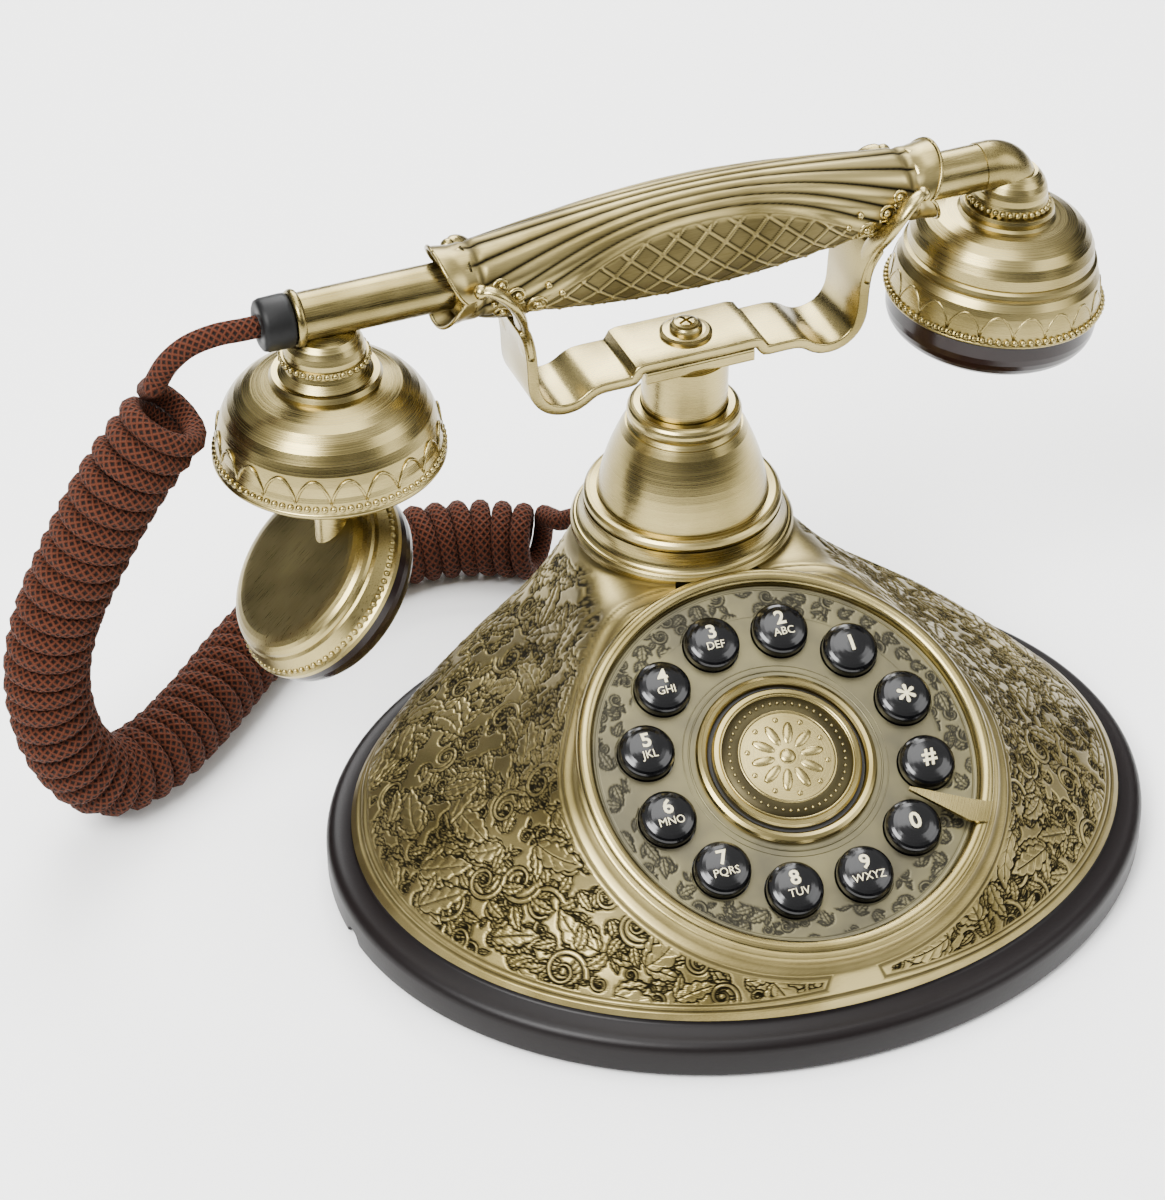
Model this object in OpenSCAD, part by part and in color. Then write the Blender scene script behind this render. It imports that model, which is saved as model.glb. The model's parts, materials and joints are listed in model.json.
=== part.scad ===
// Cradle telephone: brass body on a dark plinth, push-button dial, column with a
// sprung cradle, and a two-ended handset with a tilted transmitter and a curly cord.
// Frame: X along the handset, the dial faces -Y, Z up, origin on the floor at the
// middle of the plinth.

/* [Plinth] */
// Width of the plinth along X
base_w = 227; // [200:1:260]
// Depth of the plinth along Y
base_d = 191; // [175:1:225]
// Height of the plinth's flat top above the floor
plinth_h = 13; // [11:0.5:18]
// Wall of the plinth
plinth_wall = 9; // [7.5:0.5:11]
// How far the plinth stands out beyond the body
plinth_lip = 7; // [5:0.5:10]
// Height of the step that the body stands on
plinth_step = 1; // [0.5:0.5:2]
// Floor clearance that the feet give
foot_gap = 1.2; // [0.8:0.1:2.5]
// Radius of a rubber foot
foot_r = 8; // [6:0.5:10]

/* [Body] */
// Thickness of the body's skin
skin = 3; // [2:0.5:4]
// Radius of the body's neck, under the column
neck_r = 28; // [25:0.5:29.5]
// Height of the neck above the floor
neck_z = 71.5; // [66:0.5:80]
// Distance of the column's axis behind the middle of the plinth
column_y = 48; // [44:0.5:54]
// How far the skin sags inward below the neck, as a share of its height
neck_flare = 0.26; // [0:0.01:0.3]
// How far the skin sags inward below the dial, as a share of its height
dial_flare = 0.16; // [0:0.01:0.2]

/* [Dial] */
// Radius of the raised bezel around the dial
bezel_r = 55.5; // [54:0.5:58]
// Radius of the dial plate
dial_r = 50.8; // [49:0.1:51.2]
// Distance of the dial's centre in front of the middle of the plinth
dial_forward = 35; // [33:0.5:37]
// Height of the dial's centre
dial_z = 53.5; // [50:0.5:58]
// Slope of the dial's face
dial_tilt = 26; // [22:0.5:30]
// How far the plate lies below the bezel
plate_drop = 2.5; // [2:0.1:3]
// Thickness of the plate
plate_t = 2; // [1.5:0.1:2.5]
// Radius of the circle that the keys stand on
key_ring_r = 37; // [36:0.25:37.5]
// Radius of a key cap
key_r = 7.4; // [6.5:0.1:7.8]
// Height of a key cap above the plate
key_h = 5; // [4:0.1:6]
// Travel of a key
key_travel = 1.5; // [1:0.1:1.8]
// Outer radius of the ring around the medallion
ring_r = 24; // [22:0.5:26]
// Radius of the medallion
medallion_r = 19.8; // [18:0.1:20.5]

/* [Column] */
// Radius of the collar's skirt
collar_r = 30.5; // [29:0.5:33]
// Height of the collar
collar_h = 11.5; // [10:0.5:14]
// Radius of the cone at its foot
cone_foot_r = 23.5; // [22:0.5:25]
// Radius of the cone at its top
cone_top_r = 16.2; // [15.5:0.1:18]
// Height of the cone
cone_h = 22; // [20:0.5:26]
// Height of the ring on the cone
cap_ring_h = 6; // [5:0.5:8]
// Radius of the sliding stem
stem_r = 11.6; // [10.5:0.1:12.2]
// Travel of the cradle
cradle_travel = 4; // [3:0.5:6]

/* [Cradle] */
// Half length of the raised middle of the strip
strip_flat = 16.5; // [15:0.5:18]
// Height of the strip's middle above the floor
strip_z = 132.5; // [130:0.5:140]
// Thickness of the strip
strip_t = 3; // [2:0.1:3.5]
// Width of the strip
strip_w = 20; // [17:0.5:24]
// Half width of the fork at the top of each prong
fork_w = 15; // [14:0.5:17]
// Turn of the cradle and handset about the column
cradle_yaw = 4.2; // [0:0.1:6]

/* [Handset] */
// Height of the tube's axis above the floor
tube_z = 163.7; // [162:0.1:170]
// Radius of the tube
tube_r = 6.3; // [5.5:0.1:6.8]
// Reach of the tube towards the mouthpiece
tube_left = 108; // [106:0.5:112]
// Half length of the grip
grip_half = 70; // [68:0.5:73]
// Radius of the grip at its middle
grip_r = 14.6; // [13:0.1:16]
// Radius of the grip where the fork holds it
grip_end_r = 9.6; // [9:0.1:10]
// Distance of the mouthpiece's axis from the column
mouth_x = 99.5; // [98:0.5:101]
// Distance of the earpiece's ball from the column
ear_x = 94.3; // [92:0.5:96]
// Drop of the earpiece's ball below the tube's axis
ear_drop = 9.4; // [8:0.1:11]
// Inward lean of the earpiece
ear_lean = 4.75; // [0:0.25:8]
// Radius of both bells at the rim
bell_r = 29.7; // [27:0.1:31]
// Radius of the transmitter capsule
capsule_r = 28.2; // [26:0.1:29]
// Tilt of the transmitter capsule
capsule_tilt = 45; // [40:1:50]
// Travel of the handset when it is lifted off
lift = 60; // [40:5:80]

/* [Cord] */
// Diameter of the braided cord
cord_d = 6; // [5:0.1:6.4]
// Outer diameter of its curl
curl_d = 23.4; // [20:0.1:26]

/* [Hidden] */

$fn = 72;
eps = 0.01;
// Running gap between pieces that slide or lie close
gap = 0.3;

body_z = plinth_h + plinth_step;
dial_y = -dial_forward;
collar_z = neck_z;
cone_z = collar_z + collar_h;
cap_ring_z = cone_z + cone_h;
column_top = cap_ring_z + cap_ring_h;

plinth_colour = [0.12, 0.08, 0.08];
brass_colour = [0.65, 0.58, 0.38];
pewter_colour = [0.50, 0.48, 0.42];
key_colour = [0.05, 0.05, 0.06];
board_colour = [0.10, 0.35, 0.18];
steel_colour = [0.72, 0.72, 0.72];
cord_colour = [0.36, 0.18, 0.14];

// ---- helpers ----

function ellipse(a, b, n = 120) = [for (i = [0 : n - 1]) [a * cos(i * 360 / n), b * sin(i * 360 / n)]];
// Point of an ellipse whose outward normal points along phi, and how far it reaches that way
function reach(a, b, phi) = sqrt(pow(a * cos(phi), 2) + pow(b * sin(phi), 2));
function ellipse_at(a, b, phi) = [a * a * cos(phi), b * b * sin(phi)] / reach(a, b, phi);

// Everything on the dial: origin at its centre on the bezel's plane, Z out of the face
module on_dial() translate([0, dial_y, dial_z]) rotate([dial_tilt, 0, 0]) children();
// Everything that turns with the cradle: X along the handset, heights from the floor
module on_column() translate([0, column_y, 0]) rotate([0, 0, cradle_yaw]) children();
// The earpiece's own axis, pointing up out of its ball
module on_ear() on_column() translate([ear_x, 0, tube_z - ear_drop]) rotate([0, ear_lean, 0]) children();
module on_mouth() on_column() translate([-mouth_x, 0, tube_z]) children();
// The capsule's axis: Z points out of its back, the cap is on the other side
capsule_x = 103;
capsule_z = 80.8;
module on_capsule() on_column() translate([-capsule_x, 0, capsule_z]) rotate([0, -capsule_tilt, 0]) children();

// ---- body skin ----

// A point on the upper outline: the bezel in front, the neck behind, blended between
outline_blend = 3;
function upper_edge(phi, r_dial, drop, r_neck, z_neck) =
    let (
        b = r_dial * cos(dial_tilt),
        p = ellipse_at(r_dial, b, phi),
        y0 = dial_y + drop * sin(dial_tilt),
        z0 = dial_z - drop * cos(dial_tilt),
        front = [p.x, y0 + p.y, z0 + p.y * tan(dial_tilt)],
        back = [r_neck * cos(phi), column_y + r_neck * sin(phi), z_neck],
        lead = column_y * sin(phi) + r_neck - y0 * sin(phi) - reach(r_dial, b, phi),
        w = 1 / (1 + exp(-lead / outline_blend))
    ) [front * (1 - w) + back * w, w];

loft_n = 72;
loft_rows = 10;
// Height reached at share g of the way in, from the foot (0) to the upper outline (1)
function climb(g, w) =
    g - (neck_flare * w + dial_flare * (1 - w)) * sin(180 * g) * g * g
      + 0.05 * sin(180 * g) * pow(1 - g, 2);

module loft(a, b, z, r_dial, drop, r_neck, z_neck) {
    points = [
        for (j = [0 : loft_rows]) let (g = j / loft_rows)
            for (i = [0 : loft_n - 1]) let (
                phi = i * 360 / loft_n,
                foot = ellipse_at(a, b, phi),
                e = upper_edge(phi, r_dial, drop, r_neck, z_neck),
                top = e[0]
            ) [foot.x + (top.x - foot.x) * g, foot.y + (top.y - foot.y) * g,
               z + (top.z - z) * climb(g, e[1])]
    ];
    half = loft_n / 2;
    last = loft_rows * loft_n;
    right = [for (j = [0 : half]) last + (loft_n * 3 / 4 + j) % loft_n];
    left = [for (j = [0 : half]) last + (loft_n * 3 / 4 - j) % loft_n];
    sides = [
        for (j = [0 : loft_rows - 1], i = [0 : loft_n - 1]) let (
            p = j * loft_n + i, q = j * loft_n + (i + 1) % loft_n
        ) each [[p, p + loft_n, q + loft_n], [p, q + loft_n, q]]
    ];
    lid = [
        [right[0], left[1], right[1]],
        for (j = [1 : half - 2]) each [[right[j], left[j], left[j + 1]], [right[j], left[j + 1], right[j + 1]]],
        [right[half - 1], left[half - 1], right[half]]
    ];
    polyhedron(points, concat([[for (i = [0 : loft_n - 1]) i]], sides, lid), convexity = 6);
}

roof_drop = 9;
well_r = dial_r - 4.8;
seat_drop = plate_drop + plate_t;
board_drop = seat_drop + 6.7;
board_t = 1.6;
board_r = well_r + 4.2;
post_r = 2;

bezel_lift = 0.8;
// The skin is one mesh: the loft and its cuts meet in shared planes
module body_skin() resize([base_w - 2 * plinth_lip, base_d - 2 * plinth_lip, 0]) {
    body_wall();
    for (a = [45 : 90 : 315])
        on_dial() rotate(a) translate([board_r - post_r, 0, -board_drop])
            cylinder(r = post_r, h = board_drop - seat_drop - 1, $fn = 20);
}

module body_wall() difference() {
    union() {
        loft(base_w / 2 - plinth_lip, base_d / 2 - plinth_lip, body_z, bezel_r, bezel_lift, neck_r, neck_z - 0.6);
        hull() {
            on_dial() translate([0, 0, -6]) cylinder(r = bezel_r - 0.9, h = 6, $fn = 90);
            translate([0, column_y, neck_z - 6]) cylinder(r = neck_r - 0.9, h = 6.6, $fn = 50);
        }
    }
    translate([0, 0, -eps]) loft(
        base_w / 2 - plinth_lip - skin, base_d / 2 - plinth_lip - skin, body_z,
        bezel_r - skin - 1.5, roof_drop, neck_r - skin, neck_z - skin
    );
    on_dial() {
        translate([0, 0, -seat_drop]) cylinder(r = dial_r + gap, h = 30);
        translate([0, 0, -roof_drop - 6]) cylinder(r = well_r, h = 30);
        translate([0, 0, -board_drop - 7]) cylinder(r = board_r + 0.4, h = board_drop + 7 - roof_drop - 0.5);
    }
    translate([0, column_y, collar_z]) cylinder(r = collar_r + gap, h = 30);
    translate([0, column_y, collar_z - 20]) cylinder(r = stem_r + 4, h = 30);
    translate([0, gland_y + 20, gland_z]) rotate([90, 0, 0]) cylinder(r = gland_r, h = 40);
    translate([0, gland_y + gland_out - 1, gland_z]) rotate([-90, 0, 0]) cylinder(r = gland_r + 1.3, h = 20);
}

module body_shell() color(brass_colour) body_skin();

// ---- plinth and base ----

cover_t = 2;
cover_z = foot_gap + 1;
boss_r = 5;
boss_ring = [for (s = [[1, 1], [-1, 1], [-1, -1], [1, -1]]) [s.x * base_w * 0.31, s.y * base_d * 0.28]];
notch_y = -12;
notch_r = 3.4;

module plinth_ellipse(inset) polygon(ellipse(base_w / 2 - inset, base_d / 2 - inset));

module base_plinth() color(plinth_colour) difference() {
    union() {
        translate([0, 0, foot_gap]) linear_extrude(plinth_h - foot_gap) plinth_ellipse(0);
        translate([0, 0, plinth_h - eps]) linear_extrude(plinth_step + eps) plinth_ellipse(plinth_lip - 0.6);
    }
    translate([0, 0, -eps]) linear_extrude(plinth_h + plinth_step + 1) plinth_ellipse(plinth_wall + 2.5);
    translate([0, 0, -eps]) linear_extrude(cover_z + cover_t + gap) plinth_ellipse(plinth_wall);
    line_notch();
}

// Where the line cord leaves, under the left side
module line_notch() translate([-base_w / 2 - 1, notch_y, foot_gap]) rotate([0, 90, 0])
    cylinder(r = notch_r, h = plinth_wall + 14);

module at_bosses() for (p = boss_ring) translate([p.x, p.y, 0]) children();
feet_spots = [for (s = [[1, 1], [-1, 1], [-1, -1], [1, -1], [0, 0]]) [s.x * base_w * 0.2, s.y * base_d * 0.33]];

module base_cover() color(steel_colour) {
    difference() {
        translate([0, 0, cover_z]) linear_extrude(cover_t) plinth_ellipse(plinth_wall + gap);
        at_bosses() cylinder(r = 1.8, h = 20, center = true);
        line_notch();
        for (p = feet_spots) translate([p.x, p.y, 0]) cylinder(r = foot_r * 0.4 + 0.1, h = 20, center = true);
        for (x = [-9 : 6 : 9], y = [-9 : 6 : 9])
            translate([ringer_x + x, ringer_y + y, 0]) cylinder(r = 1.5, h = 20, center = true);
    }
    at_bosses() translate([0, 0, cover_z + cover_t - eps]) difference() {
        cylinder(r = boss_r, h = board_z - cover_z - cover_t + eps);
        translate([0, 0, -1]) cylinder(r = 1.8, h = 30);
    }
}

module rubber_feet() color(key_colour) for (p = feet_spots) translate([p.x, p.y, 0]) {
    cylinder(r = foot_r, h = cover_z);
    cylinder(r = foot_r * 0.4, h = cover_z + cover_t);
}

module base_screws() color(steel_colour) at_bosses() {
    translate([0, 0, cover_z - 1]) difference() {
        cylinder(r = 3, h = 1);
        translate([0, 0, 0.2]) cube([4, 0.6, 0.8], center = true);
    }
    translate([0, 0, cover_z - eps]) cylinder(r = 1.6, h = board_z - cover_z + main_board_t + 1);
}

board_z = 9;
main_board_t = 1.6;

module main_board() color(board_colour) difference() {
    intersection() {
        translate([-base_w * 0.34, -base_d * 0.32, board_z]) cube([base_w * 0.68, base_d * 0.64, main_board_t]);
        linear_extrude(40) plinth_ellipse(plinth_wall + 4);
    }
    at_bosses() cylinder(r = 2, h = 40, center = true);
    translate([weight_x, weight_y, 0]) cylinder(r = weight_r + 2, h = 40, center = true);
    translate([ringer_x, ringer_y, 0]) cylinder(r = ringer_r + 2, h = 40, center = true);
}

weight_r = 20;
weight_x = 0;
weight_y = -18;
module counterweight() color(steel_colour) translate([weight_x, weight_y, cover_z + cover_t]) difference() {
    cylinder(r = weight_r, h = 14);
    translate([0, 0, -1]) cylinder(r = 3, h = 20);
}

ringer_r = 16;
ringer_x = 46;
ringer_y = 12;
module ringer() color(key_colour) translate([ringer_x, ringer_y, cover_z + cover_t]) difference() {
    cylinder(r = ringer_r, h = 8);
    translate([0, 0, -1]) cylinder(r = ringer_r - 3, h = 5);
}

socket_w = 14;
module line_socket() color(key_colour) translate([-base_w * 0.34 + 1, notch_y, board_z - 7]) difference() {
    translate([-13, -socket_w / 2, cover_z + cover_t + gap - (board_z - 7)])
        cube([13 + 8, socket_w, board_z - cover_z - cover_t - gap]);
    translate([-14, -5, 2.6]) cube([12, 10, 4]);
}

// ---- dial ----

KEYS = [
    ["key_1", 45], ["key_2", 75], ["key_3", 105], ["key_4", 135], ["key_5", 165], ["key_6", 195],
    ["key_7", 225], ["key_8", 255], ["key_9", 285], ["key_0", 315], ["key_hash", 345], ["key_star", 15]
];

module at_keys() for (k = KEYS) rotate(k[1]) translate([key_ring_r, 0, 0]) children();

module dial_plate() color(pewter_colour) on_dial() translate([0, 0, -seat_drop]) difference() {
    cylinder(r = dial_r, h = plate_t);
    at_keys() translate([0, 0, -1]) cylinder(r = key_r + gap, h = plate_t + 2);
}

module dial_ring() color(brass_colour) on_dial() translate([0, 0, -plate_drop]) rotate_extrude()
    polygon([
        [ring_r - 3.2, 0], [ring_r, 0], [ring_r, 0.9], [ring_r - 0.5, 1.6], [ring_r - 1.4, 2.1],
        [ring_r - 2.4, 1.9], [ring_r - 3, 1.3], [ring_r - 3.2, 0.7]
    ]);

module medallion() color(brass_colour) on_dial() translate([0, 0, -plate_drop]) rotate_extrude()
    polygon([
        [0, 0], [medallion_r, 0], [medallion_r, 1.6], [medallion_r - 0.5, 2.2], [medallion_r - 1.6, 2.4],
        [medallion_r - 2.2, 2], [medallion_r - 6, 2.1], [0, 2.4]
    ]);

stop_angle = -30;
stop_t = 1.2;
module finger_stop() color(brass_colour) on_dial() rotate(stop_angle) linear_extrude(stop_t) polygon([
    [32.5, -0.4], [dial_r - 1, -4.4], [dial_r + 3.6, -3.4], [dial_r + 3.6, 2.6], [dial_r - 1, 1.8], [32.5, 0.4]
]);

flange_top = seat_drop + gap;
flange_t = 1.2;
key_stem_r = 2.5;
stem_end = flange_top + flange_t + 2.6;
mat_drop = stem_end + key_travel + 0.5;
mat_t = board_drop - mat_drop;

module key_at(name) {
    angle = [for (k = KEYS) if (k[0] == name) k[1]][0];
    color(key_colour) on_dial() rotate(angle) translate([key_ring_r, 0, 0]) rotate_extrude() polygon([
        [0, -stem_end], [key_stem_r, -stem_end], [key_stem_r, -flange_top - flange_t],
        [key_r + 0.9, -flange_top - flange_t], [key_r + 0.9, -flange_top], [key_r, -flange_top],
        [key_r, -plate_drop + key_h * 0.45],
        for (t = [10 : 10 : 80]) [
            key_r * cos(t), -plate_drop + key_h * (0.45 + 0.55 * sin(t))
        ],
        [0, -plate_drop + key_h]
    ]);
}

module key_1() key_at("key_1");
module key_2() key_at("key_2");
module key_3() key_at("key_3");
module key_4() key_at("key_4");
module key_5() key_at("key_5");
module key_6() key_at("key_6");
module key_7() key_at("key_7");
module key_8() key_at("key_8");
module key_9() key_at("key_9");
module key_0() key_at("key_0");
module key_star() key_at("key_star");
module key_hash() key_at("key_hash");

mat_r = well_r - 0.5;
module key_mat() color([0.35, 0.35, 0.37]) on_dial() {
    translate([0, 0, -board_drop]) cylinder(r = mat_r, h = mat_t);
    at_keys() translate([0, 0, -mat_drop - eps]) difference() {
        cylinder(r = key_stem_r + 1.5, h = mat_drop - flange_top - flange_t - key_travel - gap);
        translate([0, 0, -1]) cylinder(r = key_stem_r + 0.5, h = 20);
    }
}

module key_board() color(board_colour) on_dial() translate([0, 0, -board_drop - board_t]) difference() {
    cylinder(r = board_r, h = board_t);
    for (a = [45 : 90 : 315]) rotate(a) translate([board_r - post_r, 0, -1]) cylinder(r = 1.1, h = 10);
}

module key_board_screws() color(steel_colour) for (a = [45 : 90 : 315]) on_dial() rotate(a)
    translate([board_r - post_r, 0, -board_drop - board_t - 1.4]) {
        cylinder(r = 1.9, h = 1.4);
        cylinder(r = 0.9, h = 1.4 + board_t);
    }

// ---- column ----

bush_wall = 2.2;
bush_r = stem_r + gap + bush_wall;

module column_collar() color(brass_colour) translate([0, column_y, collar_z]) rotate_extrude() polygon([
    [bush_r + 4, 0], [collar_r, 0], [collar_r, 1.8], [collar_r - 0.5, 2.6],
    for (t = [0 : 10 : 90]) [
        cone_foot_r + 3.6 + (collar_r - 1 - cone_foot_r - 3.6) * (1 - sin(t)),
        3 + (collar_h - 6) * (1 - cos(t))
    ],
    for (t = [-60 : 30 : 90]) [cone_foot_r + 1.8 + 1.8 * cos(t), collar_h - 1.8 + 1.8 * sin(t)],
    [bush_r + 4, collar_h]
]);

module column_cone() color(brass_colour) translate([0, column_y, cone_z]) rotate_extrude() polygon([
    [cone_foot_r - 4, 0], [cone_foot_r, 0],
    for (t = [0.1 : 0.1 : 0.9]) [
        cone_foot_r + (cone_top_r - cone_foot_r) * t + 0.9 * sin(180 * t), cone_h * t
    ],
    [cone_top_r + 0.3, cone_h - 1], [cone_top_r - 0.3, cone_h], [bush_r + 0.05, cone_h],
    [bush_r + 0.05, cone_h - 12]
]);

module column_ring() color(brass_colour) translate([0, column_y, cap_ring_z]) rotate_extrude() polygon([
    [stem_r + gap, 0], [cone_top_r - 0.8, 0],
    for (t = [-60 : 20 : 80]) [cone_top_r - 2.4 + 1.7 * cos(t), cap_ring_h * (0.55 + 0.42 * sin(t))],
    [cone_top_r - 2.6, cap_ring_h], [stem_r + gap, cap_ring_h]
]);

module stem_bush() color(key_colour) translate([0, column_y, cap_ring_z - 26]) difference() {
    union() {
        cylinder(r = bush_r, h = 26);
        cylinder(r = bush_r + 3, h = 3);
    }
    translate([0, 0, -1]) cylinder(r = stem_r + gap, h = 40);
}

rod_r = 3.5;
rod_end = 24;
stem_foot = cap_ring_z - 20;
seat_z = 44;
module spring_seat() color(steel_colour) translate([0, column_y, 0]) difference() {
    union() {
        translate([0, 0, seat_z - 3]) cylinder(r = 14, h = 3);
        for (x = [-11, 11]) translate([x, 0, board_z + main_board_t]) cylinder(r = 2.6, h = seat_z - 3 - board_z - main_board_t);
    }
    cylinder(r = rod_r + gap, h = 100);
}

module cradle_spring() color(steel_colour) translate([0, column_y, seat_z]) difference() {
    cylinder(r = 7.5, h = stem_foot - seat_z);
    translate([0, 0, -1]) cylinder(r = 5.8, h = 200);
}

module hook_switch() color(key_colour) translate([0, column_y, board_z + main_board_t]) {
    translate([-6, -10, 0]) cube([12, 20, 9]);
    translate([0, 0, 9]) cylinder(r = 2, h = rod_end - gap - board_z - main_board_t - 9);
}

// ---- cradle ----

head_t = 3.4;
module cradle_stem() color(brass_colour) on_column() {
    translate([0, 0, stem_foot]) cylinder(r = stem_r, h = strip_z - strip_t - head_t - stem_foot);
    translate([-strip_flat + 1, -strip_w / 2, strip_z - strip_t - head_t]) cube([2 * strip_flat - 2, strip_w, head_t]);
    translate([0, 0, rod_end]) cylinder(r = rod_r, h = stem_foot - rod_end + 1);
}

// Middle line of the strip, from the centre out to the tip of a prong
strip_mid = strip_z - strip_t / 2;
step_drop = 3;
u_r = 9.5;
u_x = strip_flat + 21;
u_z = strip_mid + 2.6;
strip_line = [
    [0, strip_mid], [strip_flat, strip_mid], [strip_flat + 2, strip_mid - step_drop],
    [strip_flat + 8.5, strip_mid - step_drop],
    for (a = [220 : 10 : 350]) [u_x + u_r * cos(a), u_z + u_r * sin(a)],
    [u_x + u_r + 0.4, u_z + 8], [u_x + u_r + 1.6, u_z + 15], [u_x + u_r + 4.2, u_z + 21.5],
    [u_x + u_r + 8, u_z + 27], [u_x + u_r + 12.2, u_z + 31]
];
function side_of(line, i, d) =
    let (
        a = line[max(i - 1, 0)], b = line[min(i + 1, len(line) - 1)],
        t = (b - a) / norm(b - a)
    ) line[i] + d * [-t.y, t.x];

module strip_half() rotate([90, 0, 0]) linear_extrude(2 * fork_w, center = true) polygon(concat(
    [for (i = [0 : len(strip_line) - 1]) side_of(strip_line, i, strip_t / 2)],
    [for (i = [len(strip_line) - 1 : -1 : 0]) side_of(strip_line, i, -strip_t / 2)]
));

fork_z = tube_z - 22;
module cradle_strip() color(brass_colour) on_column() difference() {
    intersection() {
        union() {
            strip_half();
            mirror([1, 0, 0]) strip_half();
        }
        rotate([90, 0, 90]) linear_extrude(200, center = true) polygon([
            [-strip_w / 2, strip_z - 20], [strip_w / 2, strip_z - 20], [strip_w / 2, fork_z],
            [fork_w, fork_z + 12], [fork_w, tube_z + 10], [-fork_w, tube_z + 10],
            [-fork_w, fork_z + 12], [-strip_w / 2, fork_z]
        ]);
    }
    for (s = [-1, 1]) translate([s * (u_x + u_r + 6), 0, tube_z]) rotate([0, 90, 0])
        cylinder(r = grip_end_r + 1.6, h = 24, center = true);
    for (s = [-1, 1]) translate([s * (u_x + u_r + 6) - 12, -grip_end_r - 1.6, tube_z]) cube([24, 2 * grip_end_r + 3.2, 20]);
    cylinder(r = 2.2, h = 300);
}

module cradle_washer() color(brass_colour) on_column() translate([0, 0, strip_z]) rotate_extrude() polygon([
    [2.2, 0], [7, 0], [7, 0.7], [6.2, 1.2], [5.2, 1.4], [2.2, 1.4]
]);

module cradle_screw() color(steel_colour) on_column() translate([0, 0, strip_z + 1.4]) difference() {
    union() {
        rotate_extrude() polygon([
            [0, 0], [4.4, 0], [4.4, 0.8],
            for (t = [15 : 15 : 75]) [4.4 * cos(t), 0.8 + 1.9 * sin(t)],
            [0, 2.7]
        ]);
        translate([0, 0, -1.4 - strip_t]) cylinder(r = 2, h = 1.5 + strip_t);
    }
    for (a = [0, 90]) rotate(a + 20) translate([0, 0, 2.4]) cube([4.6, 0.9, 1.4], center = true);
}

// ---- handset ----

tube_wall = 1.2;
elbow_x = ear_x - 8;
tube_right = ear_x - 10.4;
module handset_tube() color(brass_colour) on_column() translate([-tube_left, 0, tube_z]) rotate([0, 90, 0])
    difference() {
        cylinder(r = tube_r, h = tube_left + tube_right);
        translate([0, 0, -1]) cylinder(r = tube_r - tube_wall, h = tube_left + tube_right + 2);
    }

// Radius of the grip at a distance x from its middle
function grip_at(x) = grip_end_r + (grip_r - grip_end_r) * pow(cos(min(abs(x) / (grip_half - 8), 1) * 90), 1.4);
module handset_grip() color(brass_colour) on_column() translate([0, 0, tube_z]) rotate([0, 90, 0]) rotate_extrude()
    polygon([
        [tube_r + 0.05, -grip_half], [grip_end_r + 0.5, -grip_half], [grip_end_r, -grip_half + 4],
        for (x = [-grip_half + 8 : 6 : grip_half - 8]) [grip_at(x), x],
        [grip_end_r, grip_half - 4], [grip_end_r + 0.5, grip_half], [tube_r + 0.05, grip_half]
    ]);

ring_w = 2.4;
module tube_end_ring() color(brass_colour) on_column() translate([-tube_left, 0, tube_z]) rotate([0, 90, 0])
    rotate_extrude() polygon([
        [tube_r + 0.05, 0], [tube_r + 0.6, 0], [tube_r + 1.1, 0.5], [tube_r + 1.1, ring_w - 0.5],
        [tube_r + 0.6, ring_w], [tube_r + 0.05, ring_w]
    ]);

boot_l = 8.5;
module cord_boot() color(key_colour) on_column() translate([-tube_left, 0, tube_z]) rotate([0, -90, 0])
    rotate_extrude() polygon([
        [0, 0], [tube_r + 0.4, 0], [tube_r + 0.5, 4], [tube_r - 0.4, 6], [cord_d / 2 + 1.4, boot_l], [0, boot_l]
    ]);

ball_r = 10.2;
module ear_elbow() color(brass_colour) {
    on_column() difference() {
        union() {
            translate([tube_right, 0, tube_z]) rotate([0, 90, 0])
                cylinder(r = tube_r + 0.3, h = elbow_x + 0.6 - tube_right);
            translate([elbow_x + 0.5, 0, tube_z - ear_drop + 1.5]) rotate([90, 0, 0])
                rotate_extrude(angle = 90) translate([ear_drop - 1.5, 0]) circle(r = tube_r + 0.3);
        }
        translate([ear_x, 0, tube_z - ear_drop - 20]) cube([60, 60, 40.4], center = true);
    }
    on_ear() rotate_extrude() polygon([
        [0, 6], [0, -3], [ball_r + 0.4, -3], [ball_r + 0.4, -1],
        for (t = [0 : 10 : 50]) [ball_r * cos(t), ball_r * sin(t) * 0.9]
    ]);
}

// Both bells: outer outline first, then the inside at a constant wall
ear_neck_d = 3;
ear_dome_d = 16.5;
ear_rim_d = 31.5;
module ear_shell() color(brass_colour) on_ear() mirror([0, 0, 1]) rotate_extrude() polygon([
    [0, ear_neck_d], [12.4, ear_neck_d], [12.8, ear_neck_d + 1], [12.6, ear_neck_d + 2.4],
    [13.4, ear_neck_d + 3],
    for (t = [15 : 15 : 90]) [
        13.4 + (bell_r - 4.2 - 13.4) * sin(t), ear_dome_d - (ear_dome_d - ear_neck_d - 3) * cos(t)
    ],
    [bell_r - 4.6, ear_dome_d + 0.3], [bell_r - 3.4, ear_dome_d + 1], [bell_r - 3, ear_dome_d + 2.2],
    [bell_r - 3.6, ear_dome_d + 3.2],
    for (t = [0 : 0.2 : 1]) [bell_r - 3.4 + 2.9 * sqrt(t), ear_dome_d + 3.6 + (ear_rim_d - ear_dome_d - 5.6) * t],
    [bell_r, ear_rim_d - 1.4], [bell_r - 0.4, ear_rim_d],
    [bell_r - 3, ear_rim_d], [bell_r - 3, ear_rim_d - 4], [bell_r - 7, ear_dome_d + 1],
    [14, ear_neck_d + 6], [0, ear_neck_d + 5]
]);

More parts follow.
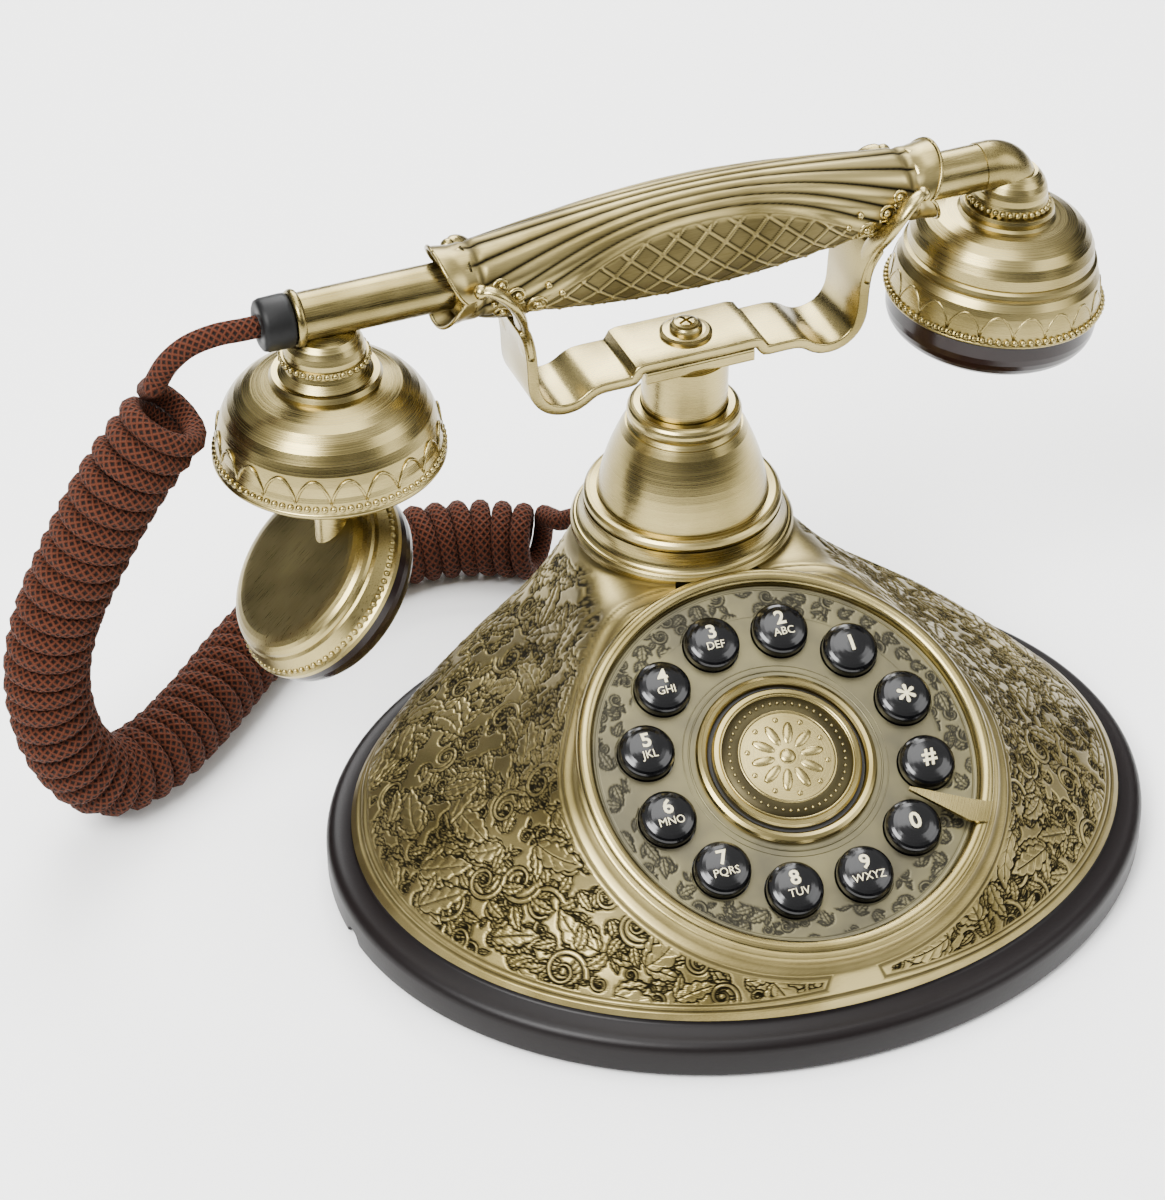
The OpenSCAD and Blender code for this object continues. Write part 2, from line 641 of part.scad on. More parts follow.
cap_h = 11.5;
module ear_cap() color(plinth_colour) on_ear() mirror([0, 0, 1]) difference() {
    rotate_extrude() polygon([
        [0, ear_rim_d], [bell_r - 1, ear_rim_d],
        for (t = [0 : 15 : 90]) [
            bell_r - 6.8 + 6 * cos(t), ear_rim_d + cap_h - 7 + 7 * sin(t)
        ],
        [12, ear_rim_d + cap_h - 0.6], [0, ear_rim_d + cap_h - 2]
    ]);
    for (a = [0 : 60 : 300]) rotate(a) translate([5, 0, ear_rim_d + cap_h - 5]) cylinder(r = 1.1, h = 10);
    translate([0, 0, ear_rim_d - 1]) cylinder(r = bell_r - 7, h = 5);
}

module receiver_unit() color(steel_colour) on_ear() mirror([0, 0, 1])
    translate([0, 0, ear_rim_d - 2.4]) cylinder(r = bell_r - 7.4, h = 6);

mouth_knob_r = 10.6;
mouth_neck_d = 17;
mouth_rim_d = 42.7;
module mouth_neck() color(brass_colour) on_mouth() difference() {
    mirror([0, 0, 1]) rotate_extrude() polygon([
        [0, 4.5], [5, 4.5],
        for (t = [40 : -10 : 0]) [mouth_knob_r * cos(t), 11.4 - 9 * sin(t)],
        [mouth_knob_r + 0.5, 11.4], [mouth_knob_r + 0.5, 13.2], [mouth_knob_r - 0.8, 13.6],
        [mouth_knob_r - 0.2, 15.4], [mouth_knob_r + 1.6, mouth_neck_d], [0, mouth_neck_d]
    ]);
    translate([-20, 0, 0]) rotate([0, 90, 0]) cylinder(r = tube_r + 0.05, h = 40);
    translate([-20, 0, 0]) rotate([0, 90, 0]) cylinder(r = tube_r + 1.3, h = 20 + mouth_x - tube_left + ring_w + 0.1);
}

module mouth_bell() color(brass_colour) on_mouth() mirror([0, 0, 1]) rotate_extrude() polygon([
    [0, mouth_neck_d], [13.8, mouth_neck_d], [14.5, mouth_neck_d + 1.2], [14.2, mouth_neck_d + 2.4],
    for (t = [10 : 10 : 90]) [
        14.6 + (bell_r - 1 - 14.6) * sin(t),
        mouth_rim_d - 6 - (mouth_rim_d - mouth_neck_d - 9) * cos(t)
    ],
    [bell_r - 0.6, mouth_rim_d - 4.6], [bell_r, mouth_rim_d - 1.4], [bell_r - 0.5, mouth_rim_d],
    [bell_r - 4, mouth_rim_d + 1.6], [8, mouth_rim_d + 3], [0, mouth_rim_d + 3]
]);

module transmitter_bracket() color(brass_colour) difference() {
    on_mouth() mirror([0, 0, 1]) translate([0, 0, mouth_rim_d + 3]) cylinder(r = 5, h = 28);
    on_capsule() translate([0, 0, capsule_back - 40]) cylinder(r = capsule_r + 20, h = 40);
}

capsule_back = 10.5;
module transmitter_shell() color(brass_colour) on_capsule() rotate_extrude() polygon([
    [0, capsule_back], [capsule_r - 9.2, capsule_back],
    for (t = [75 : -15 : 0]) [
        capsule_r - 9.2 + 6 * cos(t), capsule_back - 3.6 + 3.6 * sin(t)
    ],
    [capsule_r - 3.6, 6.6], [capsule_r - 2.6, 6], [capsule_r - 1.2, 3.4], [capsule_r - 0.9, 2],
    [capsule_r, 1.4], [capsule_r, 0.2], [capsule_r - 0.3, 0], [capsule_r - 3.2, 0],
    [capsule_r - 3.2, 3], [capsule_r - 7, capsule_back - 4], [0, capsule_back - 3]
]);

module transmitter_cap() color(plinth_colour) on_capsule() mirror([0, 0, 1]) difference() {
    rotate_extrude() polygon([
        [0, 0], [capsule_r - 0.8, 0], [capsule_r - 0.7, 2.5],
        for (t = [15 : 15 : 90]) [
            capsule_r - 6.7 + 6 * cos(t), 2.5 + 6 * sin(t)
        ],
        [12, 8], [0, 7]
    ]);
    for (a = [0 : 60 : 300]) rotate(a) translate([5, 0, 4]) cylinder(r = 1.1, h = 10);
    translate([0, 0, -1]) cylinder(r = capsule_r - 6, h = 4);
}

module microphone_unit() color(steel_colour) on_capsule() translate([0, 0, -2.6]) cylinder(r = capsule_r - 8, h = 6);

// ---- cord ----

// Sweep of a closed polygon of n sides along a line of points
function cross_dir(a, b) = let (c = cross(a, b)) c / norm(c);
function tangent_at(line, i) = let (
    d = line[min(i + 1, len(line) - 1)] - line[max(i - 1, 0)]
) d / norm(d);
function smooth_at(line, u) = let (
    i = min(floor(u), len(line) - 2), f = u - i,
    p0 = line[max(i - 1, 0)], p1 = line[i], p2 = line[i + 1], p3 = line[min(i + 2, len(line) - 1)]
) p1 + f * (0.5 * (p2 - p0) + f * (p0 - 2.5 * p1 + 2 * p2 - 0.5 * p3
    + f * (-0.5 * p0 + 1.5 * p1 - 1.5 * p2 + 0.5 * p3)));
module sweep(line, r, rings, sides) {
    fine = [for (k = [0 : rings]) smooth_at(line, k * (len(line) - 1) / rings)];
    points = [
        for (k = [0 : rings]) let (
            t = tangent_at(fine, k), s = cross_dir(t, [0.13, 1, 0.2]), v = cross(t, s)
        ) for (i = [0 : sides - 1]) fine[k] + r * (cos(i * 360 / sides) * s + sin(i * 360 / sides) * v)
    ];
    walls = [
        for (k = [0 : rings - 1], i = [0 : sides - 1]) let (
            p = k * sides + i, q = k * sides + (i + 1) % sides
        ) each [[p, q, q + sides], [p, q + sides, p + sides]]
    ];
    polyhedron(points, concat(
        walls, [[for (i = [sides - 1 : -1 : 0]) i]], [[for (i = [0 : sides - 1]) rings * sides + i]]
    ), convexity = 8);
}

// Middle line of the curl, from the handset down to the floor and round to the back
CURL_ROUTE = [
    [-138.5, 41.5, 142], [-152, 42.5, 124], [-163, 45, 103], [-173, 47, 80], [-177, 49, 58],
    [-174, 51, 35], [-164, 56, 17], [-149, 65, 12.5], [-132, 80, 12.5], [-113, 101, 12.5],
    [-90, 122, 12.5], [-62, 135, 12.5], [-36, 134, 12.5], [-16, 124, 13]
];
gland_y = 78;
gland_z = 34;
gland_r = 5.5;
gland_out = 7.4;
TOP_ROUTE = [
    [-116.25, 39.46, 163.7], [-120.2, 39.2, 163.7], [-127, 39.4, 163.4], [-134, 39.9, 161.2],
    [-139.3, 40.8, 156.5], [-142.8, 41.8, 150.2], [-145, 42, 147.25]
];
BASE_ROUTE = [
    [-15.75, 123.9, 21.3], [-12.2, 122.1, 21.4], [-8.5, 118.5, 24.5], [-4.5, 112, 29.5],
    [-1, 105, 33], [0, 99, 34], [0, 94, 34], [0, gland_y + 6, 34]
];

module handset_cord_curl() color(cord_colour) sweep(CURL_ROUTE, curl_d / 2, 40, 12);
module handset_cord_top() color(cord_colour) sweep(TOP_ROUTE, cord_d / 2, 10, 10);
module handset_cord_base() color(cord_colour) sweep(BASE_ROUTE, cord_d / 2, 10, 10);

module cord_gland() color(key_colour) translate([0, gland_y, gland_z]) rotate([-90, 0, 0]) rotate_extrude() polygon([
    [cord_d / 2 + gap, 0], [gland_r - 0.2, 0], [gland_r - 0.2, gland_out - 1], [gland_r + 1, gland_out - 1],
    [gland_r + 1, gland_out], [cord_d / 2 + 1.4, gland_out + 6], [cord_d / 2 + gap, gland_out + 6]
]);

base_plinth();
base_cover();
rubber_feet();
base_screws();
body_shell();
dial_plate();
dial_ring();
medallion();
finger_stop();
key_mat();
key_board();
key_board_screws();
main_board();
counterweight();
ringer();
line_socket();
column_collar();
column_cone();
column_ring();
stem_bush();
spring_seat();
hook_switch();
cradle_spring();
cradle_stem();
cradle_strip();
cradle_washer();
cradle_screw();
handset_tube();
handset_grip();
tube_end_ring();
cord_boot();
ear_elbow();
ear_shell();
ear_cap();
receiver_unit();
mouth_neck();
mouth_bell();
transmitter_bracket();
transmitter_shell();
transmitter_cap();
microphone_unit();
cord_gland();
handset_cord_top();
handset_cord_curl();
handset_cord_base();
key_1();
key_2();
key_3();
key_4();
key_5();
key_6();
key_7();
key_8();
key_9();
key_0();
key_star();
key_hash();
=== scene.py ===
import json
import math
import random

import bmesh
import bpy
import numpy as np
from mathutils import Matrix, Vector


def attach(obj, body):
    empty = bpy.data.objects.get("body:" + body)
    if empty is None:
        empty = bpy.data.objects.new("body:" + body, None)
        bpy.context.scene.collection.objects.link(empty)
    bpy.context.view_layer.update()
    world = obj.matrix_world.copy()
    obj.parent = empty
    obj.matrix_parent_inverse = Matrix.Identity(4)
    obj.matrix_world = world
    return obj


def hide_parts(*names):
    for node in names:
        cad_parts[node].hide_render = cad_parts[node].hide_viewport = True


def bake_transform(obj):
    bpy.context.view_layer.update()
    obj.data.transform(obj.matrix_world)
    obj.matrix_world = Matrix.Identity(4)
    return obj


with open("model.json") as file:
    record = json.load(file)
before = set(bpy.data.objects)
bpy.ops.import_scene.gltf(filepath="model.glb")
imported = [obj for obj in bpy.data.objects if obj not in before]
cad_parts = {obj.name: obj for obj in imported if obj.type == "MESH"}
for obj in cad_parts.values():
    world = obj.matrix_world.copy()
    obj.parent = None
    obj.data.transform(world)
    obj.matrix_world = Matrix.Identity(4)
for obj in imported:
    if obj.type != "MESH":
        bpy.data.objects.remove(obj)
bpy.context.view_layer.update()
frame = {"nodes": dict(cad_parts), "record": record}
mm = 0.001

def turn(axis, degrees):
    return Matrix.Rotation(math.radians(degrees), 4, axis)

def shift(x, y, z):
    return Matrix.Translation((x, y, z))

# everything is drawn in millimetres on its own axes, then carried to its place
atDial = shift(0, -35, 53.5) @ turn("X", 26)
atColumn = shift(0, 48, 0) @ turn("Z", 4.2)
atTube = atColumn @ shift(0, 0, 163.7)
atEar = atColumn @ shift(94.3, 0, 154.3) @ turn("Y", 4.75)
atMouth = atColumn @ shift(-99.5, 0, 163.7)
atCapsule = atColumn @ shift(-103, 0, 80.8) @ turn("Y", -45)

cameraSettings = {"place": (-0.2676, -0.6753, 0.6411), "aim": (-0.04448, 0, 0.08965), "lens": 104.99}

camData = bpy.data.cameras.new("camera")
camData.lens = cameraSettings["lens"]
camData.sensor_width = 36
cam = bpy.data.objects.new("camera", camData)
cam.location = cameraSettings["place"]
aim = Vector(cameraSettings["aim"]) - Vector(cameraSettings["place"])
cam.rotation_euler = aim.to_track_quat("-Z", "Y").to_euler()
bpy.context.collection.objects.link(cam)
bpy.context.scene.camera = cam

def paint(hexCode):
    parts = [int(hexCode[i:i + 2], 16) / 255 for i in (0, 2, 4)]
    return tuple([c / 12.92 if c <= 0.04045 else ((c + 0.055) / 1.055) ** 2.4 for c in parts] + [1.0])

def addNode(tree, kind, settings=None, links=None):
    node = tree.nodes.new(kind)
    for key, value in (settings or {}).items():
        if isinstance(key, int) or (key in node.inputs.keys() and not hasattr(node, key)):
            node.inputs[key].default_value = value
        else:
            setattr(node, key, value)
    for key, source in (links or {}).items():
        tree.links.new(source, node.inputs[key])
    return node

def addMath(tree, operation, *terms):
    # each term is a number or another node's output
    node = addNode(tree, "ShaderNodeMath", {"operation": operation})
    for i, term in enumerate(terms):
        if isinstance(term, (int, float)):
            node.inputs[i].default_value = term
        else:
            tree.links.new(term, node.inputs[i])
    return node.outputs[0]

def startMaterial(name, **surface):
    mat = bpy.data.materials.new(name)
    mat.use_nodes = True
    shader = mat.node_tree.nodes["Principled BSDF"]
    for key, value in surface.items():
        shader.inputs[key.replace("_", " ")].default_value = value
    return mat, mat.node_tree, shader

def colourRamp(tree, source, stops):
    node = addNode(tree, "ShaderNodeValToRGB", links={0: source})
    ramp = node.color_ramp
    while len(ramp.elements) < len(stops):
        ramp.elements.new(0.5)
    for element, (place, colour) in zip(ramp.elements, stops):
        element.position = place
        element.color = colour
    return node.outputs[0]

def objectCoords(tree):
    return addNode(tree, "ShaderNodeTexCoord").outputs["Object"]

def patinaAndShadePlaces(tree):
    return addNode(tree, "ShaderNodeAttribute", {"attribute_name": "patinaAndShade"}).outputs["Fac"]

def addNoise(tree, coords, scale, detail, **more):
    # scale is blotches to the metre, so 1000 is about 1 mm across
    settings = {"Scale": scale, "Detail": detail, **more}
    return addNode(tree, "ShaderNodeTexNoise", settings, {"Vector": coords}).outputs["Fac"]

def addBump(tree, shader, height, strength, distance=0.0001):
    bump = addNode(tree, "ShaderNodeBump", {"Strength": strength, "Distance": distance}, {"Height": height})
    tree.links.new(bump.outputs[0], shader.inputs["Normal"])

def brushedLines(tree, mode, place):
    # brush marks about 0.25 mm apart: rings round the piece's axis, or straight strokes along it
    coords = objectCoords(tree)
    loc, rot, _ = place.decompose()
    moved = addNode(tree, "ShaderNodeVectorMath", {"operation": "SUBTRACT", 1: [c * mm for c in loc]},
                    {0: coords})
    turned = addNode(tree, "ShaderNodeVectorRotate", {"rotation_type": "EULER_XYZ", "invert": True},
                     {"Vector": moved.outputs[0]})
    turned.inputs["Rotation"].default_value = rot.to_euler()
    if mode == "round":
        parts = addNode(tree, "ShaderNodeSeparateXYZ", links={0: turned.outputs[0]})
        flat = addNode(tree, "ShaderNodeCombineXYZ", links={0: parts.outputs[0], 1: parts.outputs[1]})
        far = addNode(tree, "ShaderNodeVectorMath", {"operation": "LENGTH"}, {0: flat.outputs[0]})
        line = addNode(tree, "ShaderNodeCombineXYZ", links={0: far.outputs["Value"], 2: parts.outputs[2]})
        vector = line.outputs[0]
    else:
        scaled = addNode(tree, "ShaderNodeVectorMath", {"operation": "MULTIPLY", 1: (0.03, 1, 1)},
                         {0: turned.outputs[0]})
        vector = scaled.outputs[0]
    return addNoise(tree, vector, 4200.0, 3.0, Roughness=0.6)

# antique brass: plated, blackened, then brushed back, so it is yellow on the high places
# and grey-brown in the low ones; colour clouds about 26 mm across
brassTones = {"bright": "A59664", "mid": "6F633B", "dark": "342D1A", "deep": "0E0C07"}

def antiqueBrass(name, place, mode="round", patinaAndShade=False, roughness=0.25):
    mat, tree, shader = startMaterial(name, Metallic=1.0, Roughness=roughness)
    coords = objectCoords(tree)
    lines = brushedLines(tree, mode, place)
    cloud = addNoise(tree, coords, 38.0, 2.0)
    mixed = addMath(tree, "MULTIPLY_ADD", lines, 0.3, cloud)
    base = colourRamp(tree, mixed, [(0.45, paint(brassTones["mid"])), (0.82, paint(brassTones["bright"]))])
    if patinaAndShade:
        # darkens to the dark and deep tones where the attribute says: blackening in the hollows, and on the
        # body skin painted shade at the collar and in the bezel channel
        darkAmount = patinaAndShadePlaces(tree)
        dark = colourRamp(tree, darkAmount, [(0.45, paint(brassTones["dark"])), (0.95, paint(brassTones["deep"]))])
        base = addNode(tree, "ShaderNodeMix", {"data_type": "RGBA"}, {0: darkAmount, 6: base, 7: dark}).outputs[2]
        rough = addNode(tree, "ShaderNodeMapRange", {3: roughness, 4: 0.75}, {0: darkAmount})
    else:
        span = {1: 0.3, 2: 0.7, 3: roughness - 0.05, 4: roughness + 0.09}
        rough = addNode(tree, "ShaderNodeMapRange", span, {0: lines})
    tree.links.new(rough.outputs[0], shader.inputs["Roughness"])
    tree.links.new(base, shader.inputs["Base Color"])
    addBump(tree, shader, lines, 0.1)
    return mat

def mouldedPlastic(name, colour, roughness, grain=0.15, scale=900.0, sheen=0.5):
    # moulded or painted surface: grain about 1 mm, colour clouds about 33 mm across
    mat, tree, shader = startMaterial(name, Roughness=roughness, IOR=1.5)
    coords = objectCoords(tree)
    fine = addNoise(tree, coords, scale, 2.0)
    cloud = addNoise(tree, coords, 30.0, 1.0)
    shader.inputs["Specular IOR Level"].default_value = sheen
    r, g, b, _ = paint(colour)
    tint = colourRamp(tree, cloud, [(0.3, (r * 0.85, g * 0.85, b * 0.85, 1)),
                                    (0.7, (r * 1.12, g * 1.12, b * 1.12, 1))])
    tree.links.new(tint, shader.inputs["Base Color"])
    addBump(tree, shader, fine, grain)
    return mat

def wovenBraid(name):
    # polyester braid, red-brown: strands about 1.5 mm apart that cross over and under round the cord
    mat, tree, shader = startMaterial(name, Roughness=0.85)
    shader.inputs["Specular IOR Level"].default_value = 0.15
    shader.inputs["Sheen Weight"].default_value = 0.04
    shader.inputs["Sheen Tint"].default_value = paint("C08A72")
    uv = addNode(tree, "ShaderNodeUVMap", {"uv_map": "braid"}).outputs[0]
    parts = addNode(tree, "ShaderNodeSeparateXYZ", links={0: uv})
    waves = []
    for sign in (1, -1):
        along = addMath(tree, "MULTIPLY", parts.outputs[0], 1 / 1.9)
        lean = addMath(tree, "MULTIPLY_ADD", parts.outputs[1], 8 * sign, along)
        waves.append(addMath(tree, "SINE", addMath(tree, "MULTIPLY", lean, 2 * math.pi)))
    weave = addMath(tree, "MAXIMUM", *waves)
    coords = objectCoords(tree)
    height = addMath(tree, "MULTIPLY_ADD", addNoise(tree, coords, 2600.0, 2.0), 0.5, weave)
    # colour follows the weave's height: lighter on the crests and darker in the dips between strands, which is
    # painted shade; the noise mixed in is the yarn's own fuzz
    tint = colourRamp(tree, height,
                      [(0.0, paint("120703")), (0.5, paint("30160C")), (1.0, paint("482314"))])
    tree.links.new(tint, shader.inputs["Base Color"])
    addBump(tree, shader, height, 0.8, 0.0005)
    return mat

def pewterCast(name, patinaAndShade=False, tones=("545040", "6E684C")):
    # pewter-grey cast plate, satin, warm where it is rubbed: clouds about 18 mm, grain about 0.7 mm
    mat, tree, shader = startMaterial(name, Metallic=0.9, Roughness=0.42)
    coords = objectCoords(tree)
    cloud = addNoise(tree, coords, 55.0, 3.0)
    base = colourRamp(tree, cloud, [(0.35, paint(tones[0])), (0.65, paint(tones[1]))])
    if patinaAndShade:
        darkAmount = patinaAndShadePlaces(tree)
        base = addNode(tree, "ShaderNodeMix", {"data_type": "RGBA", 7: paint("2A2820")},
                       {0: darkAmount, 6: base}).outputs[2]
    tree.links.new(base, shader.inputs["Base Color"])
    addBump(tree, shader, addNoise(tree, coords, 1500.0, 2.0), 0.12)
    return mat

def platedSteel(name):
    # zinc-plated steel with clouds about 8 mm across
    mat, tree, shader = startMaterial(name, Metallic=1.0, Roughness=0.35)
    coords = objectCoords(tree)
    cloud = addNoise(tree, coords, 120.0, 3.0)
    r, g, b, _ = paint("B9B9B5")
    tint = colourRamp(tree, cloud, [(0.3, (r * .7, g * .7, b * .7, 1)), (0.7, (r, g, b, 1))])
    tree.links.new(tint, shader.inputs["Base Color"])
    return mat

def placeMesh(mesh, mat, body, replaced, smooth=True):
    for face in mesh.polygons:
        face.use_smooth = smooth
    piece = bpy.data.objects.new(mesh.name, mesh)
    bpy.context.collection.objects.link(piece)
    mesh.materials.append(mat)
    if body:
        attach(piece, body)
    if replaced:
        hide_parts(*replaced)
    return piece

def setPiece(name, bm, place, mat, body, smooth=True, replaced=(), recalc=True):
    if recalc:
        bmesh.ops.recalc_face_normals(bm, faces=bm.faces[:])
    bmesh.ops.transform(bm, matrix=Matrix.Scale(mm, 4) @ place, verts=bm.verts[:])
    mesh = bpy.data.meshes.new(name)
    bm.to_mesh(mesh)
    bm.free()
    return placeMesh(mesh, mat, body, replaced, smooth)

def addLathe(bm, profile, steps=96):
    # profile is (radius, height) pairs; the piece turns about its own Z
    verts = [bm.verts.new((r, 0, z)) for r, z in profile]
    edges = [bm.edges.new((a, b)) for a, b in zip(verts, verts[1:])]
    bmesh.ops.spin(bm, geom=verts + edges, cent=(0, 0, 0), axis=(0, 0, 1), angle=2 * math.pi,
                   steps=steps, use_merge=True)
    bmesh.ops.remove_doubles(bm, verts=bm.verts[:], dist=0.0005)

def addBall(bm, centre, radius, squashZ=1.0, segments=8, rings=6):
    bmesh.ops.create_uvsphere(bm, u_segments=segments, v_segments=rings, radius=radius,
                              matrix=shift(*centre) @ Matrix.Diagonal((1, 1, squashZ, 1)))

def addBeads(bm, count, radius, height, size):
    for i in range(count):
        a = 2 * math.pi * i / count
        addBall(bm, (radius * math.cos(a), radius * math.sin(a), height), size)

def meshFromCurve(data):
    holder = bpy.data.objects.new(data.name, data)
    bpy.context.collection.objects.link(holder)
    mesh = bpy.data.meshes.new_from_object(holder.evaluated_get(bpy.context.evaluated_depsgraph_get()))
    bpy.data.objects.remove(holder)
    bpy.data.curves.remove(data)
    return mesh

def strandMesh(lines, radius, sides=2):
    # many thin round wires at once
    data = bpy.data.curves.new("strands", "CURVE")
    data.dimensions = "3D"
    data.bevel_depth = radius
    data.bevel_resolution = sides - 1
    data.use_fill_caps = True
    for line in lines:
        spline = data.splines.new("POLY")
        spline.points.add(len(line) - 1)
        for point, spot in zip(spline.points, line):
            point.co = (*spot, 1)
    mesh = meshFromCurve(data)
    bm = bmesh.new()
    bm.from_mesh(mesh)
    bpy.data.meshes.remove(mesh)
    bmesh.ops.remove_doubles(bm, verts=bm.verts[:], dist=0.00001)
    return bm

def loftRings(bm, rings, segments=14):
    # each ring is a matrix that carries the unit circle to its station
    loops = []
    for matrix in rings:
        made = bmesh.ops.create_circle(bm, cap_ends=False, radius=1, segments=segments, matrix=matrix)
        loops.append(list({e for v in made["verts"] for e in v.link_edges}))
    for a, b in zip(loops, loops[1:]):
        bmesh.ops.bridge_loops(bm, edges=a + b)
    bmesh.ops.contextual_create(bm, geom=loops[0])
    bmesh.ops.contextual_create(bm, geom=loops[-1])

def gridMesh(name, across, along):
    bm = bmesh.new()
    bmesh.ops.create_grid(bm, x_segments=across, y_segments=along, size=1)
    mesh = bpy.data.meshes.new(name)
    bm.to_mesh(mesh)
    bm.free()
    spots = np.empty(len(mesh.vertices) * 3)
    mesh.vertices.foreach_get("co", spots)
    spots = spots.reshape(-1, 3)
    return mesh, (spots[:, 0] + 1) / 2, (spots[:, 1] + 1) / 2

def finishGrid(mesh, spots, patinaAndShade, place, mat, body, replaced=(), merge=False, flip=False):
    flat = np.c_[spots, np.ones(len(spots))] @ np.array(Matrix.Scale(mm, 4) @ place).T
    mesh.vertices.foreach_set("co", flat[:, :3].ravel())
    darkAmount = mesh.attributes.new("patinaAndShade", "FLOAT", "POINT")   # 0 is bright metal, 1 is fully dark: blackening in the hollows, and on the body skin painted shade as well
    darkAmount.data.foreach_set("value", np.clip(patinaAndShade, 0, 1).astype(np.float32))
    if merge or flip:
        bm = bmesh.new()
        bm.from_mesh(mesh)
        if merge:
            bmesh.ops.remove_doubles(bm, verts=bm.verts[:], dist=0.000002)
        if flip:
            bmesh.ops.reverse_faces(bm, faces=bm.faces[:])
        bm.to_mesh(mesh)
        bm.free()
    mesh.update()
    return placeMesh(mesh, mat, body, replaced)

def smoothStep(low, high, value):
    t = np.clip((value - low) / (high - low), 0, 1)
    return t * t * (3 - 2 * t)

def directions(path):
    steps = np.gradient(path, axis=0)
    return steps / np.linalg.norm(steps, axis=1)[:, None]

def smoothLine(points, count):
    # an even Catmull-Rom line through the points
    pts = np.array(points, float)
    fine = []
    for i in range(len(pts) - 1):
        p0, p1, p2, p3 = pts[max(i - 1, 0)], pts[i], pts[i + 1], pts[min(i + 2, len(pts) - 1)]
        for f in np.linspace(0, 1, 24, endpoint=False):
            cubic = -0.5 * p0 + 1.5 * p1 - 1.5 * p2 + 0.5 * p3
            fine.append(p1 + f * (0.5 * (p2 - p0) + f * (p0 - 2.5 * p1 + 2 * p2 - 0.5 * p3 + f * cubic)))
    fine.append(pts[-1])
    fine = np.array(fine)
    run = np.r_[0, np.cumsum(np.linalg.norm(np.diff(fine, axis=0), axis=1))]
    even = np.linspace(0, run[-1], count)
    return np.c_[[np.interp(even, run, fine[:, k]) for k in range(3)]].T

cordSettings = {
    "diameter": 6.0, "coilRadius": 8.7, "turns": 51, "perTurn": 16, "sides": 10,
    "top": [(-116.25, 39.46, 163.7), (-120.2, 39.2, 163.7), (-127, 39.4, 163.4), (-134, 39.9, 161.2),
            (-139.3, 40.8, 156.5), (-142.8, 41.8, 150.2), (-145, 42, 147.25)],
    "curl": [(-138.5, 41.5, 142), (-152, 42.5, 124), (-163, 45, 103), (-173, 47, 80), (-177, 49, 58),
             (-174, 51, 35), (-164, 56, 17), (-149, 65, 12.5), (-132, 80, 12.5), (-113, 101, 12.5),
             (-90, 122, 12.5), (-62, 135, 12.5), (-36, 134, 12.5), (-16, 124, 13)],
    "base": [(-15.75, 123.9, 21.3), (-12.2, 122.1, 21.4), (-8.5, 118.5, 24.5), (-4.5, 112, 29.5),
             (-1, 105, 33), (0, 99, 34), (0, 94, 34), (0, 84, 34)],
}

def cordPath(s):
    top = smoothLine(s["top"], 30)
    axis = smoothLine(s["curl"], s["turns"] * s["perTurn"] + 1)
    base = smoothLine(s["base"], 30)
    tangents = directions(axis)
    # a frame carried along the axis without twist
    start = top[-1] - axis[0]
    u = start - tangents[0] * (start @ tangents[0])
    u /= np.linalg.norm(u)
    frames = [u]
    for t in tangents[1:]:
        u = u - t * (u @ t)
        u /= np.linalg.norm(u)
        frames.append(u)
    frames = np.array(frames)
    sideways = np.cross(tangents, frames)
    last = base[0] - axis[-1]
    endAngle = math.atan2(last @ sideways[-1], last @ frames[-1])
    share = np.linspace(0, 1, len(axis))
    angle = share * (2 * math.pi * s["turns"] + endAngle)
    coil = axis + s["coilRadius"] * (np.cos(angle)[:, None] * frames + np.sin(angle)[:, None] * sideways)
    return np.vstack([top[:-3], coil[2:-2], base[3:]])

def tubeAlong(path, radius, sides):
    bm = bmesh.new()
    layer = bm.loops.layers.uv.new("braid")
    tangents = directions(path)
    u = np.cross(tangents[0], (0, 0, 1))
    u /= np.linalg.norm(u)
    run = np.r_[0, np.cumsum(np.linalg.norm(np.diff(path, axis=0), axis=1))]
    rings = []
    for spot, t in zip(path, tangents):
        u = u - t * (u @ t)
        u /= np.linalg.norm(u)
        v = np.cross(t, u)
        rings.append([bm.verts.new(spot + radius * (math.cos(a) * u + math.sin(a) * v))
                      for a in np.arange(sides) * 2 * math.pi / sides])
    for i, (a, b) in enumerate(zip(rings, rings[1:])):
        for k in range(sides):
            face = bm.faces.new((a[k], a[(k + 1) % sides], b[(k + 1) % sides], b[k]))
            for loop, (m, w) in zip(face.loops, ((i, k), (i, k + 1), (i + 1, k + 1), (i + 1, k))):
                loop[layer].uv = (run[m], w / sides)
    bm.faces.new(rings[0][::-1])
    bm.faces.new(rings[-1])
    return bm, run[-1]

matCord = wovenBraid("braidedPolyesterCord")
path = cordPath(cordSettings)
cordBm, cordLength = tubeAlong(path, cordSettings["diameter"] / 2, cordSettings["sides"])
cordPiece = setPiece("curlyCord", cordBm, Matrix.Identity(4), matCord, None)
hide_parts("handset_cord_top", "handset_cord_curl", "handset_cord_base")
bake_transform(cordPiece)
print("cord", round(cordLength), "mm")

centreLine = shift(0, 48, 0)
